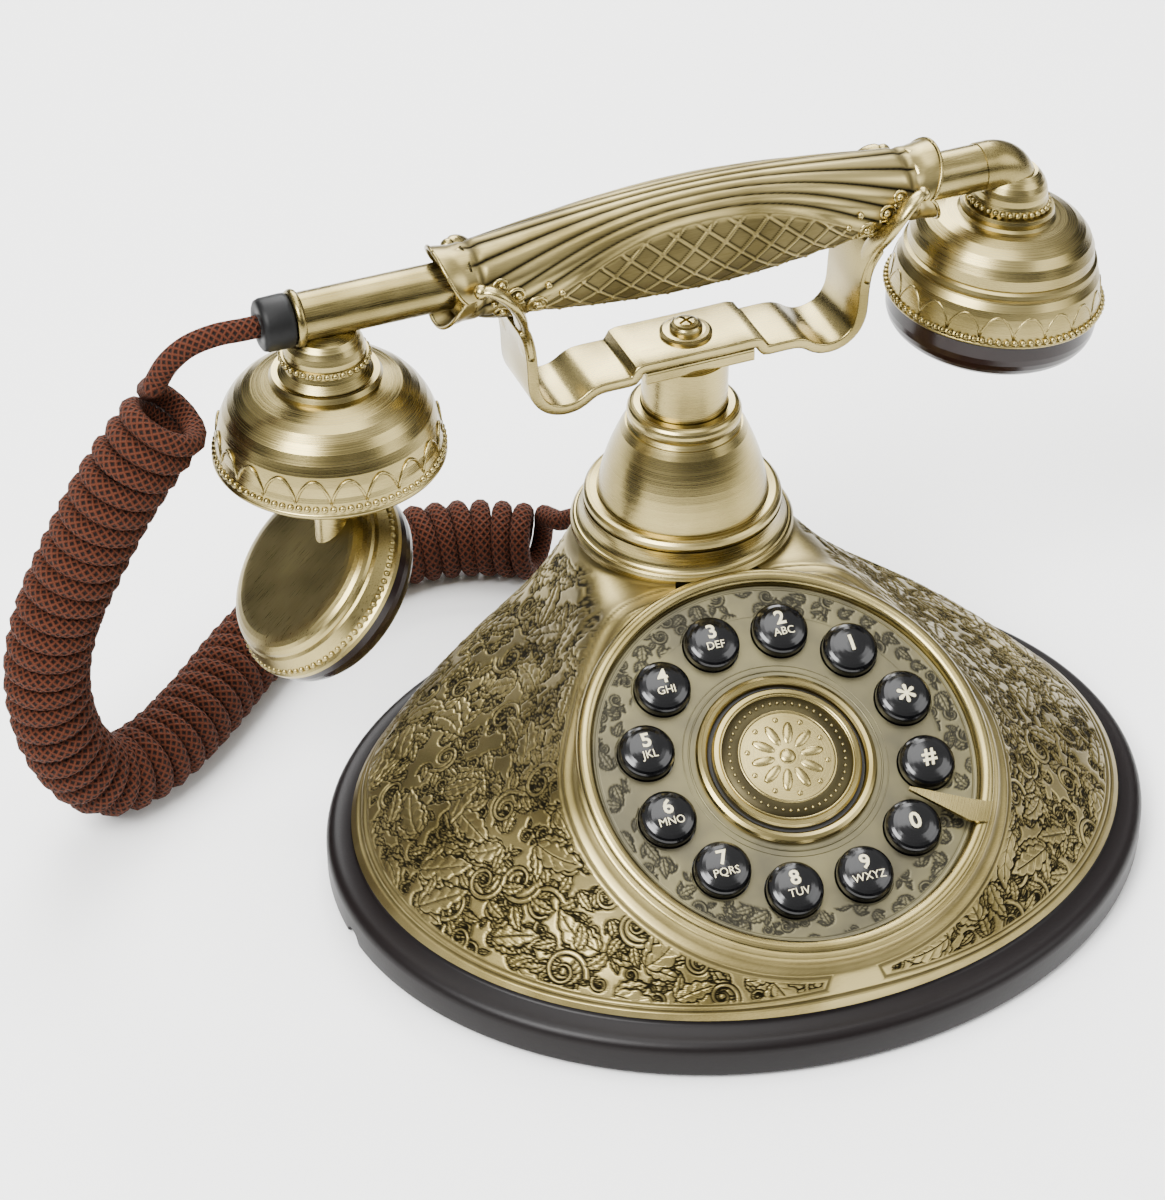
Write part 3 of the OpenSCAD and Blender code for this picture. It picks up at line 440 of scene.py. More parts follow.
# brass: turned pieces have rings of brush marks, drawn and cast ones have straight strokes
matColumn = antiqueBrass("antiqueBrassTurned", centreLine)
matStrip = antiqueBrass("antiqueBrassBentStrip", atColumn, "alongX")
matTube = antiqueBrass("antiqueBrassTube", atTube, "alongX")
matEar = antiqueBrass("antiqueBrassEarBell", atEar, roughness=0.27)
matMouth = antiqueBrass("antiqueBrassMouthBell", atMouth, roughness=0.25)
matCapsule = antiqueBrass("antiqueBrassCapsule", atCapsule, "alongX", roughness=0.3)
matDialBrass = antiqueBrass("antiqueBrassDialRings", atDial)
matSkin = antiqueBrass("antiqueBrassEngraved", atColumn, "alongX", patinaAndShade=True, roughness=0.34)
matGrip = antiqueBrass("antiqueBrassCastGrip", atTube, "alongX", patinaAndShade=True, roughness=0.3)
# pewter for the dial plate; the ground of the medallion is brass left black
matGround = pewterCast("blackenedBrassGround", tones=("2E2919", "403A24"))
matPlate = pewterCast("pewterDialPlate")
matPlateCarved = pewterCast("pewterDialBorder", patinaAndShade=True)
# mouldings: colour, roughness, depth of grain, its scale and how much it shines
matKey = mouldedPlastic("glossyBlackKeys", "040405", 0.16, 0.02, 900.0, 0.4)
matPlinth = mouldedPlastic("satinPlinth", "090404", 0.42, 0.2, 1400, 0.2)
matCap = mouldedPlastic("semiGlossCaps", "150806", 0.22, 0.05, 900.0, 0.3)
matRubber = mouldedPlastic("mouldedRubber", "0A0A0A", 0.5, 0.2, 900.0, 0.2)
matMatt = mouldedPlastic("mattMoulding", "161616", 0.6, 0.3)
matGreyRubber = mouldedPlastic("greySiliconeMat", "6A6A6E", 0.6)
matBoard = mouldedPlastic("circuitLaminate", "1F5A34", 0.45)
matWeight = mouldedPlastic("castIronWeight", "2A2A2A", 0.7, 0.5, 500)
matSteel = platedSteel("zincPlatedSteel")
matLegend = mouldedPlastic("printedLegend", "D9CFA8", 0.5)

slotMaterials = {
    "plinth_satin": matPlinth, "cover_black": matMatt, "rubber_black": matRubber, "rubber_grey": matGreyRubber,
    "steel_plain": matSteel, "brass_engraved": matSkin, "brass_plain": matColumn, "pewter_plate": matPlate,
    "key_gloss": matKey, "board_green": matBoard, "iron_weight": matWeight, "plastic_black": matMatt,
    "cap_dark": matCap, "cord_braid": matCord,
}
nodeMaterials = {
    "dial_ring": matDialBrass, "medallion": matDialBrass, "finger_stop": matDialBrass,
    "cradle_strip": matStrip, "handset_tube": matTube, "tube_end_ring": matTube,
    "ear_elbow": matEar, "ear_shell": matEar, "mouth_neck": matMouth, "mouth_bell": matMouth,
    "transmitter_bracket": matMouth, "transmitter_shell": matCapsule,
}
slotOf = {part["node"]: part["material_slot"] for part in frame["record"]["subparts"]}
for nodeName, node in frame["nodes"].items():
    mat = nodeMaterials.get(nodeName) or slotMaterials[slotOf[nodeName]]
    if not node.data.materials:
        node.data.materials.append(mat)
    for i in range(len(node.data.materials)):
        node.data.materials[i] = mat
print("materials")

plinthSettings = {"width": 227, "depth": 191, "top": 13, "bottom": 1.2, "shoulder": 3.2, "step": 14,
                  "stepIn": 7.6, "notchY": -12, "notchR": 3.6}

def makePlinth(s):
    a, narrower = s["width"] / 2, (s["width"] - s["depth"]) / 2
    r = s["shoulder"]
    profile = [(a - 11.5, s["bottom"]), (a - 0.8, s["bottom"]), (a - 0.2, s["bottom"] + 0.4),
               (a, s["bottom"] + 1.2), (a, s["top"] - r - 1.4)]
    profile += [(a - r * (1 - math.cos(t)), s["top"] - 1.4 - r * (1 - math.sin(t)))
                for t in np.linspace(0.15, math.pi / 2, 8)]
    profile += [(a - s["stepIn"] + 1, s["top"] - 0.6), (a - s["stepIn"] + 0.4, s["top"] - 0.2),
                (a - s["stepIn"], s["step"]), (a - 11.5, s["step"])]
    bm = bmesh.new()
    addLathe(bm, profile + [profile[0]], 192)
    for v in bm.verts:
        flat = math.hypot(v.co.x, v.co.y)
        v.co.y *= (flat - narrower) / flat
    piece = setPiece("ovalPlinth", bm, Matrix.Identity(4), matPlinth, None)
    cutter = bmesh.new()
    bmesh.ops.create_cone(cutter, cap_ends=True, segments=32, radius1=s["notchR"], radius2=s["notchR"],
                          depth=40, matrix=shift(-a, s["notchY"], s["bottom"]) @ turn("Y", 90))
    tool = setPiece("cutter", cutter, Matrix.Identity(4), matPlinth, None, smooth=False)
    cut = piece.modifiers.new("cut", "BOOLEAN")
    cut.object = tool
    cut.operation = "DIFFERENCE"
    cut.solver = "EXACT"
    done = bpy.data.meshes.new_from_object(piece.evaluated_get(bpy.context.evaluated_depsgraph_get()))
    piece.modifiers.clear()
    piece.data = done
    bpy.data.objects.remove(tool)
    for face in done.polygons:
        face.use_smooth = True
    done.set_sharp_from_angle(angle=math.radians(40))
    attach(piece, "base")
    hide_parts("base_plinth")

makePlinth(plinthSettings)
print("plinth")

lineWidth = 0.32   # half a groove's soft edge

def drawLeaf(x, y, length, width, bend, field, raised):
    # a toothed leaf from (0, 0) along +x, curled by bend; returns the grooves and the raised middle
    if abs(bend) > 0.001:
        radius = 1 / bend
        side = np.sign(radius)
        s = np.arctan2(x * side, (radius - y) * side) * radius
        n = radius - side * np.hypot(x, radius - y)
    else:
        s, n = x, y
    share = np.clip(s / length, 0, 1)
    teeth = 0.74 + 0.26 * np.abs(np.sin(math.pi * 4.5 * share))
    half = width * np.sin(math.pi * share ** 0.75) ** 0.8 * teeth
    on = (s > 0) & (s < length)
    edge = np.abs(np.abs(n) - half)
    inside = on & (np.abs(n) < half)
    field[inside] = 0
    raised[inside] = np.maximum(raised[inside],
                                0.5 + 0.5 * (1 - np.abs(n[inside]) / np.maximum(half[inside], 0.1)))
    near = (s > -lineWidth) & (s < length + lineWidth)
    groove = np.where(near, 1 - smoothStep(lineWidth * 0.5, lineWidth * 1.5, edge), 0)
    rib = (1 - smoothStep(lineWidth * 0.3, lineWidth, np.abs(n))) * inside * (share < 0.86)
    comb = np.abs(((s - 1.1 * np.abs(n)) * 4.5 / length) % 1 - 0.5) * length / 4.5
    rib = np.maximum(rib, (1 - smoothStep(lineWidth * 0.2, lineWidth * 0.8, comb)) * inside
                     * (np.abs(n) < half * 0.72) * 0.7)
    groove = np.maximum(groove, rib)
    np.maximum(field, groove, out=field)

def drawScroll(x, y, radius, start, hand, field, raised):
    # a curled stem that winds inwards to a small eye
    y = y * hand
    far = np.hypot(x, y)
    tight = 0.17
    wound = np.log(radius / np.maximum(far, 0.05)) / tight
    off = (wound - (np.arctan2(y, x) - start) + math.pi) % (2 * math.pi) - math.pi
    total = wound - off
    away = far * tight * off
    half = 0.10 * far + 0.28
    on = (total > 0) & (total < 2 * math.pi * 1.6)
    inside = on & (np.abs(away) < half)
    field[inside] = 0
    raised[inside] = np.maximum(raised[inside], 0.8)
    groove = np.where(on, 1 - smoothStep(lineWidth * 0.5, lineWidth * 1.5, np.abs(np.abs(away) - half)), 0)
    eye = 1 - smoothStep(lineWidth * 0.5, lineWidth * 1.4, np.abs(far - radius * 0.17))
    np.maximum(field, np.maximum(groove, eye), out=field)

mostMotifs, engraveTries = 900, 7000   # in one layer

def engrave(spots, normals, weight, seed, layers):
    # leaf sprays and scrolls, laid one over another, each hiding what is under it
    # each layer is a spacing in mm and a size, where 1 gives leaves of 8 to 13 mm
    rng = random.Random(seed)
    field, raised = np.zeros(len(spots)), np.zeros(len(spots))
    live = np.flatnonzero(weight > 0.3)
    for spacing, scale in layers:
        centres = np.full((mostMotifs, 3), 999.0)
        count = 0
        for _ in range(engraveTries):
            i = live[rng.randrange(len(live))]
            near = ((centres[:count] - spots[i]) ** 2).sum(axis=1).min(initial=9999)
            if count == mostMotifs or near < spacing * spacing:
                continue
            centres[count] = spots[i]
            count += 1
            n = normals[i]
            reach = 15 * scale
            box = np.flatnonzero(np.abs(spots - spots[i]).max(axis=1) < reach)
            box = box[(normals[box] @ n) > 0.35]
            e1 = np.cross(n, (0.2, 0.9, 0.4))
            e1 /= np.linalg.norm(e1)
            a = rng.uniform(0, 2 * math.pi)
            e2 = np.cross(n, e1)
            e1, e2 = math.cos(a) * e1 + math.sin(a) * e2, math.cos(a) * e2 - math.sin(a) * e1
            d = spots[box] - spots[i]
            x, y = d @ e1, d @ e2
            f, r = field[box], raised[box]
            if rng.random() < 0.42:
                size = rng.uniform(3.4, 5.2) * scale
                hand = rng.choice((1, -1))
                drawScroll(x, y, size, 0.4, hand, f, r)
                for tilt in (0.9, 1.7):
                    c, n = math.cos(tilt), math.sin(tilt) * hand
                    cx, cy = c * size, n * size
                    drawLeaf((x - cx) * c + (y - cy) * n, -(x - cx) * n + (y - cy) * c,
                             size * 1.1, size * 0.3, 0.12, f, r)
            else:
                length = rng.uniform(8, 13) * scale
                for tilt in (-0.75, 0.75, 0.0):
                    part = length * (0.62 if tilt else 1)
                    c, n = math.cos(tilt), math.sin(tilt)
                    drawLeaf(x * c + y * n, -x * n + y * c, part, part * 0.24,
                             rng.uniform(-0.09, 0.09), f, r)
            field[box], raised[box] = f, r
    return field * weight, raised * weight

skinSettings = {
    "footA": 106.5, "footB": 88.5, "footZ": 14, "bezelR": 55.5, "dialY": -35, "dialZ": 53.5, "tilt": 26,
    "neckR": 28, "neckY": 48, "neckZ": 71.5, "blend": 3, "neckFlare": 0.26, "dialFlare": 0.16,
    "plainFoot": 6.5, "plainBezel": 6.6, "plainFront": 8.0, "plainCollar": 1.4,
    "collarR": 30.5, "groove": 0.42, "raise": 0.16, "share": 0.86, "layers": ((4.6, 0.62), (10.0, 1.3)),
}

def skinPoint(phi, v, s):
    # v runs from the foot to the upper edge at s["share"], then inwards to the bezel and the collar
    tilt = math.radians(s["tilt"])
    c, n = np.cos(phi), np.sin(phi)
    def reach(a, b):
        return np.sqrt((a * c) ** 2 + (b * n) ** 2)
    footFar = reach(s["footA"], s["footB"])
    foot = np.c_[s["footA"] ** 2 * c / footFar, s["footB"] ** 2 * n / footFar, np.full_like(c, s["footZ"])]
    b = s["bezelR"] * math.cos(tilt)
    dialFar = reach(s["bezelR"], b)
    px, py = s["bezelR"] ** 2 * c / dialFar, b * b * n / dialFar
    front = np.c_[px, s["dialY"] + py, s["dialZ"] + py * math.tan(tilt)]
    back = np.c_[s["neckR"] * c, s["neckY"] + s["neckR"] * n, np.full_like(c, s["neckZ"])]
    lead = s["neckY"] * n + s["neckR"] - s["dialY"] * n - dialFar
    w = 1 / (1 + np.exp(-lead / s["blend"]))
    top = front * (1 - w)[:, None] + back * w[:, None]
    g = v / s["share"]
    gg = np.clip(g, 0, 1)
    climb = (gg - (s["neckFlare"] * w + s["dialFlare"] * (1 - w)) * np.sin(np.pi * gg) * gg * gg
             + 0.05 * np.sin(np.pi * gg) * (1 - gg) ** 2)
    web = np.exp(-((np.degrees(np.arcsin(np.clip(n, -1, 1))) - 19) / 17) ** 2)
    over = np.clip(g - 1, 0, None) / (1 / s["share"] - 1) * (5 + 21 * web)
    side = foot + (top - foot) * np.c_[gg, gg, climb]
    side[:, 0] -= over * c
    side[:, 1] -= over * n
    slope = (top[:, 2] - foot[:, 2]) / np.maximum(np.hypot(top[:, 0] - foot[:, 0], top[:, 1] - foot[:, 1]), 1)
    sideZ = side[:, 2] + over * slope * 1.3
    y = side[:, 1]
    plane = s["dialZ"] + (y - s["dialY"]) * math.tan(tilt) - 0.9
    roof = np.where(y > 6, np.minimum(plane, s["neckZ"] + 3.2 * np.exp(-((y - 8) / 9) ** 2)), plane)
    soft = 0.5 + 3.2 * web
    low = np.minimum(sideZ, roof)
    side[:, 2] = (low - soft * np.log(np.exp(-(sideZ - low) / soft) + np.exp(-(roof - low) / soft))
                  + soft * 0.1)
    return side, np.linalg.norm(side - foot, axis=1)

def evenPhi(low, high, s):
    # angles that space the columns evenly half-way up the skin
    phi = np.radians(np.linspace(low, high, 3000))
    total = np.zeros(len(phi) - 1)
    for v, share in ((0.0, 0.35), (0.45, 0.3), (0.86, 0.35)):
        spots = skinPoint(phi, np.full_like(phi, v), s)[0]
        total += share * np.linalg.norm(np.diff(spots, axis=0), axis=1)
    run = np.r_[0, np.cumsum(total)]
    return run / run[-1], phi

def makeSkin(name, low, high, across, along, s, seed, replaced):
    mesh, u, v = gridMesh(name, across, along)
    run, angles = evenPhi(low, high, s)
    phi = np.interp(u, run, angles)
    spots, fromFoot = skinPoint(phi, v, s)
    stepU = skinPoint(phi + 0.002, v, s)[0] - skinPoint(phi - 0.002, v, s)[0]
    stepV = skinPoint(phi, v + 0.002, s)[0] - skinPoint(phi, np.maximum(v - 0.002, 0), s)[0]
    normals = np.cross(stepU, stepV)
    normals /= np.maximum(np.linalg.norm(normals, axis=1), 1e-9)[:, None]
    back = np.c_[spots, np.ones(len(spots))] @ np.array(atDial.inverted()).T
    ringFar = np.hypot(back[:, 0], back[:, 1])
    fromBezel = (np.hypot(ringFar - s["bezelR"], np.minimum(back[:, 2] + 0.9, 0))
                 * np.sign(ringFar - s["bezelR"]))
    inner = s["bezelR"] - 1.2
    under = ringFar < inner
    back[under, :2] *= (inner / ringFar[under])[:, None]
    back[under, 2] = -1.6 - 0.02 * (inner - ringFar[under])
    spots[under] = (back[under] @ np.array(atDial).T)[:, :3]
    normals[under] = np.array(atDial)[:3, 2]
    fromCollar = np.hypot(spots[:, 0], spots[:, 1] - s["neckY"]) - s["collarR"]
    fromFront = np.abs((phi - 1.5 * math.pi + math.pi) % (2 * math.pi) - math.pi) * 95
    inset = np.minimum(np.minimum(fromFoot - s["plainFoot"], fromBezel - s["plainBezel"]),
                       np.minimum(fromFront - s["plainFront"], fromCollar - s["plainCollar"]))
    flatTop = smoothStep(0.84, 0.93, np.abs(normals[:, 2])) * (v > s["share"])
    weight = smoothStep(0.2, 1.0, inset) * (1 - flatTop) * (1 - under)
    field, raised = engrave(spots, normals, weight, seed, s["layers"])
    border = (1 - smoothStep(0.25, 0.75, np.abs(inset + 0.6))) * smoothStep(2.2, 3.2, fromCollar)
    bead = 1 - smoothStep(0.3, 0.9, np.abs(fromFoot - 3.4))
    channel = np.exp(-((fromBezel - 3.0) / 1.6) ** 2) * (1 - under)
    push = -s["groove"] * np.maximum(field, border * 0.6) + s["raise"] * raised - 0.35 * bead - 0.9 * channel
    patinaAndShade = np.maximum(field * 0.98, np.maximum(border * 0.7, bead * 0.75))
    # painted shade in the channel beside the bezel; the slight darkening of the ground between raised leaves
    # is blackening left in the low places
    patinaAndShade = np.maximum(patinaAndShade, channel * 0.45 + 0.08 * weight * (1 - raised))
    # painted shade: darker within about 1.3 mm of the collar, where the skin meets it
    patinaAndShade = np.maximum(patinaAndShade, 0.6 * np.exp(-(np.maximum(fromCollar, 0) / 1.3) ** 2))
    spots = spots + normals * push[:, None]
    return finishGrid(mesh, spots, patinaAndShade, Matrix.Identity(4), matSkin, "base", replaced)

makeSkin("engravedSkinLeft", 150, 270, 430, 226, skinSettings, 11, ("body_shell",))
makeSkin("engravedSkinRight", 270, 390, 430, 226, skinSettings, 13, ())
makeSkin("engravedSkinBack", 30, 150, 400, 180, skinSettings, 12, ())
print("body skin")

bezelSettings = {"profile": [(50.9, -4.4), (50.9, -1.2), (51.2, -0.4), (51.9, 0.15), (52.8, 0.42),
                             (53.7, 0.36), (54.5, -0.05), (55.1, -0.8), (55.35, -1.7), (55.35, -6)]}
bm = bmesh.new()
addLathe(bm, bezelSettings["profile"], 180)
setPiece("bezelLip", bm, atDial, matDialBrass, "base")
print("bezel")

dialSettings = {"plateTop": -2.5, "borderIn": 44.9, "borderOut": 50.7, "keyRing": 37, "keyR": 7.4, "keyH": 5,
                "layers": ((4.2, 0.5),), "seed": 5}

def makeDialBorder(s):
    mesh, u, v = gridMesh("dialBorder", 900, 36)
    a = 2 * math.pi * u
    r = s["borderIn"] - 3.0 + (s["borderOut"] - s["borderIn"] + 3.0) * v
    spots = np.c_[r * np.cos(a), r * np.sin(a), np.full_like(a, s["plateTop"] + 0.12)]
    normals = np.tile((0.0, 0.0, 1.0), (len(spots), 1))
    # scallops of clear plate round the keys
    keyGap = np.full(len(spots), 99.0)
    for k in range(12):
        b = math.radians(15 + 30 * k)
        keyGap = np.minimum(keyGap, np.hypot(spots[:, 0] - s["keyRing"] * math.cos(b),
                                             spots[:, 1] - s["keyRing"] * math.sin(b)) - s["keyR"])
    weight = (smoothStep(0.5, 0.9, keyGap) * smoothStep(s["borderIn"] - 2.8, s["borderIn"] - 2.0, r)
              * (1 - smoothStep(49.2, 49.6, r)))
    field, raised = engrave(spots, normals, weight, s["seed"], s["layers"])
    rim = 1 - smoothStep(0.12, 0.35, np.abs(r - 49.9))
    spots[:, 2] += raised * 0.08 - 0.12 * field - 0.15 * rim - 1.2 * (keyGap < 0.4)
    return finishGrid(mesh, spots, np.maximum(field, rim), atDial, matPlateCarved, "base",
                      merge=True)

makeDialBorder(dialSettings)

bm = bmesh.new()
for radius, size in ((25.6, 0.28), (27.2, 0.16)):   # fine turned lines outside the brass ring
    addLathe(bm, [(radius - size, -2.5), (radius - size * 0.5, -2.5 + size),
                  (radius + size * 0.5, -2.5 + size), (radius + size, -2.5)], 144)
setPiece("plateTurnedLines", bm, atDial, matPlate, "base")

medallionSettings = {"face": -0.3, "petals": 10}

def makeMedallionRelief(s):
    bm = bmesh.new()
    z = s["face"]
    for radius in (12.9, 17.6):
        addLathe(bm, [(radius - 0.35, z - 0.3), (radius - 0.2, z + 0.25), (radius + 0.2, z + 0.25),
                      (radius + 0.35, z - 0.3)], 120)
    for k in range(s["petals"]):   # a plain rosette
        a = 360 * k / s["petals"]
        for degrees, far, size, segments in ((a, 6.6, (3.4, 1.45, 0.5), 10),
                                             (a + 18, 10.6, (0.8, 0.8, 0.4), 8)):
            place = turn("Z", degrees) @ shift(far, 0, z) @ Matrix.Diagonal((*size, 1))
            bmesh.ops.create_uvsphere(bm, u_segments=segments, v_segments=6, radius=1, matrix=place)
    addBall(bm, (0, 0, z), 2.3, 0.4, 16, 8)
    addBeads(bm, 48, 15.3, z, 0.45)
    setPiece("medallionRosette", bm, atDial, matDialBrass, "base")
    bm = bmesh.new()   # the blackened ground behind the relief, and the shadowed gap round the medallion
    addLathe(bm, [(0, z - 0.07), (12.7, z - 0.07), (13.1, z - 0.03), (17.4, z - 0.07), (17.5, z - 0.3)], 96)
    setPiece("medallionGround", bm, atDial, matGround, "base")
    bm = bmesh.new()
    addLathe(bm, [(19.85, -2.3), (20.75, -2.3)], 96)
    setPiece("medallionGap", bm, atDial, matMatt, "base")

makeMedallionRelief(medallionSettings)

legendSettings = {
    "digitSize": 5.6, "letterSize": 3.0, "digitLift": 1.9, "letterDrop": 3.0,
    "keys": {
        "key_1": ("1", "", 45), "key_2": ("2", "ABC", 75), "key_3": ("3", "DEF", 105),
        "key_4": ("4", "GHI", 135), "key_5": ("5", "JKL", 165), "key_6": ("6", "MNO", 195),
        "key_7": ("7", "PQRS", 225), "key_8": ("8", "TUV", 255), "key_9": ("9", "WXYZ", 285),
        "key_0": ("0", "", 315), "key_hash": ("#", "", 345), "key_star": ("*", "", 15),
    },
}

def domeHeight(x, y, s):
    far = min(math.hypot(x, y) / s["keyR"], 1)
    return s["plateTop"] + s["keyH"] * (0.45 + 0.55 * math.sqrt(1 - far * far))

def addText(bm, words, size, dx, dy, bold):
    data = bpy.data.curves.new("words", "FONT")
    data.body = words
    data.size = size
    data.align_x = "CENTER"
    data.align_y = "CENTER"
    data.resolution_u = 3
    data.offset = bold
    mesh = meshFromCurve(data)
    mesh.transform(shift(dx, dy, 0))
    bm.from_mesh(mesh)
    bpy.data.meshes.remove(mesh)

def makeLegends(s, dial):
    for node, (digit, letters, angle) in s["keys"].items():
        bm = bmesh.new()
        if digit == "*":
            addText(bm, "*", s["digitSize"] * 2.0, 0, -2.6, 0.16)
        elif letters:
            addText(bm, digit, s["digitSize"], 0, s["digitLift"], 0.14)
            addText(bm, letters, s["letterSize"], 0, s["digitLift"] - s["letterDrop"] - 0.9, 0.0)
        else:
            addText(bm, digit, s["digitSize"] * 1.1, 0, 0.2, 0.16)
        bmesh.ops.triangulate(bm, faces=bm.faces[:])
        bmesh.ops.subdivide_edges(bm, edges=[e for e in bm.edges if e.calc_length() > 0.8], cuts=2,
                                  use_grid_fill=True)
        a = math.radians(angle)
        for v in bm.verts:
            v.co.z = domeHeight(v.co.x, v.co.y, dial) + 0.12
            v.co.x += dial["keyRing"] * math.cos(a)
            v.co.y += dial["keyRing"] * math.sin(a)
        for face in bm.faces:
            if face.normal.z < 0:
                face.normal_flip()
        setPiece("legend_" + node[4:], bm, atDial, matLegend, node + "_press", recalc=False)

makeLegends(legendSettings, dialSettings)
print("dial")

stripSettings = {
    "width": 20, "thick": 3, "middle": 131.0,
    "line": [(0, 0), (9, 0), (16.3, 0), (17.6, -1.2), (18.6, -2.7), (19.9, -3.0), (25.5, -3.0),
             (28.4, -3.2), (30.6, -4.0), (33.0, -5.6), (35.8, -6.7), (39.3, -6.7), (42.6, -5.4),
             (45.2, -2.8), (46.6, 0.6), (47.0, 4.2), (47.2, 9), (47.8, 14), (48.9, 18.2), (50.2, 21.4)],
    "horn": [(47.6, 6.6, 11.5), (48.6, 7.2, 17.5), (50.0, 9.2, 22.5), (51.6, 12.2, 27),
             (53.8, 13.9, 31.5), (56.6, 13.9, 34.8), (59.6, 13.0, 36.6), (61.6, 11.8, 36.2)],
    "hornWide": [4.4, 4.0, 3.6, 3.2, 2.9, 2.6, 2.3, 1.5],
    "hornThick": [1.5, 1.5, 1.5, 1.5, 1.5, 1.5, 1.5, 1.1],
}

def makeStrip(s):
    half = smoothLine([(x, 0, s["middle"] + z) for x, z in s["line"]], 70)
    line = np.vstack([(half * (-1, 1, 1))[::-1], half[1:]])
    tangents = directions(line)
    bm = bmesh.new()
    rows = []
    for spot, t in zip(line, tangents):
        up = np.cross(t, (0, 1, 0)) * -1
        reach = abs(spot[0])
        wide = s["width"] / 2 + 1.6 * smoothStep(47.2, 50.2, reach)
        row = []
        for y, z in ((-1, 1), (1, 1), (1, -1), (-1, -1)):
            row.append(bm.verts.new(spot + np.array((0, y * wide, 0)) + up * z * s["thick"] / 2))
        rows.append([bm.edges.new((row[k], row[(k + 1) % 4])) for k in range(4)])
    for a, b in zip(rows, rows[1:]):
        bmesh.ops.bridge_loops(bm, edges=a + b)
    bmesh.ops.contextual_create(bm, geom=rows[0])
    bmesh.ops.contextual_create(bm, geom=rows[-1])
    corners = [e for e in bm.edges if len(e.link_faces) == 2 and e.calc_face_angle(0) > 1.0]
    bmesh.ops.bevel(bm, geom=corners, offset=0.55, offset_type="OFFSET", segments=3, profile=0.5,
                    affect="EDGES", material=-1)
    strip = setPiece("cradleStrip", bm, atColumn, matStrip, "cradle",
                     replaced=("cradle_strip",))
    strip.data.set_sharp_from_angle(angle=math.radians(32))
    bm = bmesh.new()
    path = smoothLine(s["horn"], 30)
    share = np.linspace(0, len(s["hornWide"]) - 1, 30)
    wides = np.interp(share, range(len(s["hornWide"])), s["hornWide"])
    thicks = np.interp(share, range(len(s["hornThick"])), s["hornThick"])
    tangents = directions(path)
    for sx in (1, -1):
        for sy in (1, -1):
            rings = []
            for spot, t, w, h in zip(path, tangents, wides, thicks):
                t = Vector((t[0] * sx, t[1] * sy, t[2]))
                flat = Vector((0, 1, 0)) - t * t.y
                flat.normalize()
                out = t.cross(flat)
                rings.append(Matrix(((flat.x * w, out.x * h, t.x, spot[0] * sx),
                                     (flat.y * w, out.y * h, t.y, spot[1] * sy),
                                     (flat.z * w, out.z * h, t.z, s["middle"] + spot[2]),
                                     (0, 0, 0, 1))))
            loftRings(bm, rings, 16)
            tip = path[-1]
            addBall(bm, (tip[0] * sx, tip[1] * sy, s["middle"] + tip[2]), 2.0, 1.0, 14, 10)
    setPiece("cradleHorns", bm, atColumn, matStrip, "cradle")
    bm = bmesh.new()   # the joint line round the block under the strip
    block = shift(0, 0, s["middle"] - 3.3) @ Matrix.Diagonal((31.2, 20.2, 3.3, 1))
    bmesh.ops.create_cube(bm, size=1, matrix=block)
    bmesh.ops.bevel(bm, geom=bm.edges[:], offset=0.5, offset_type="OFFSET", segments=2, profile=0.5,
                    affect="EDGES", material=-1)
    setPiece("stemHead", bm, atColumn, matStrip, "cradle", smooth=False)

makeStrip(stripSettings)
print("cradle")

gripSettings = {"half": 70, "middleR": 14.4, "endR": 9.5, "panelReach": 50, "cell": 8.6, "ribs": 5}

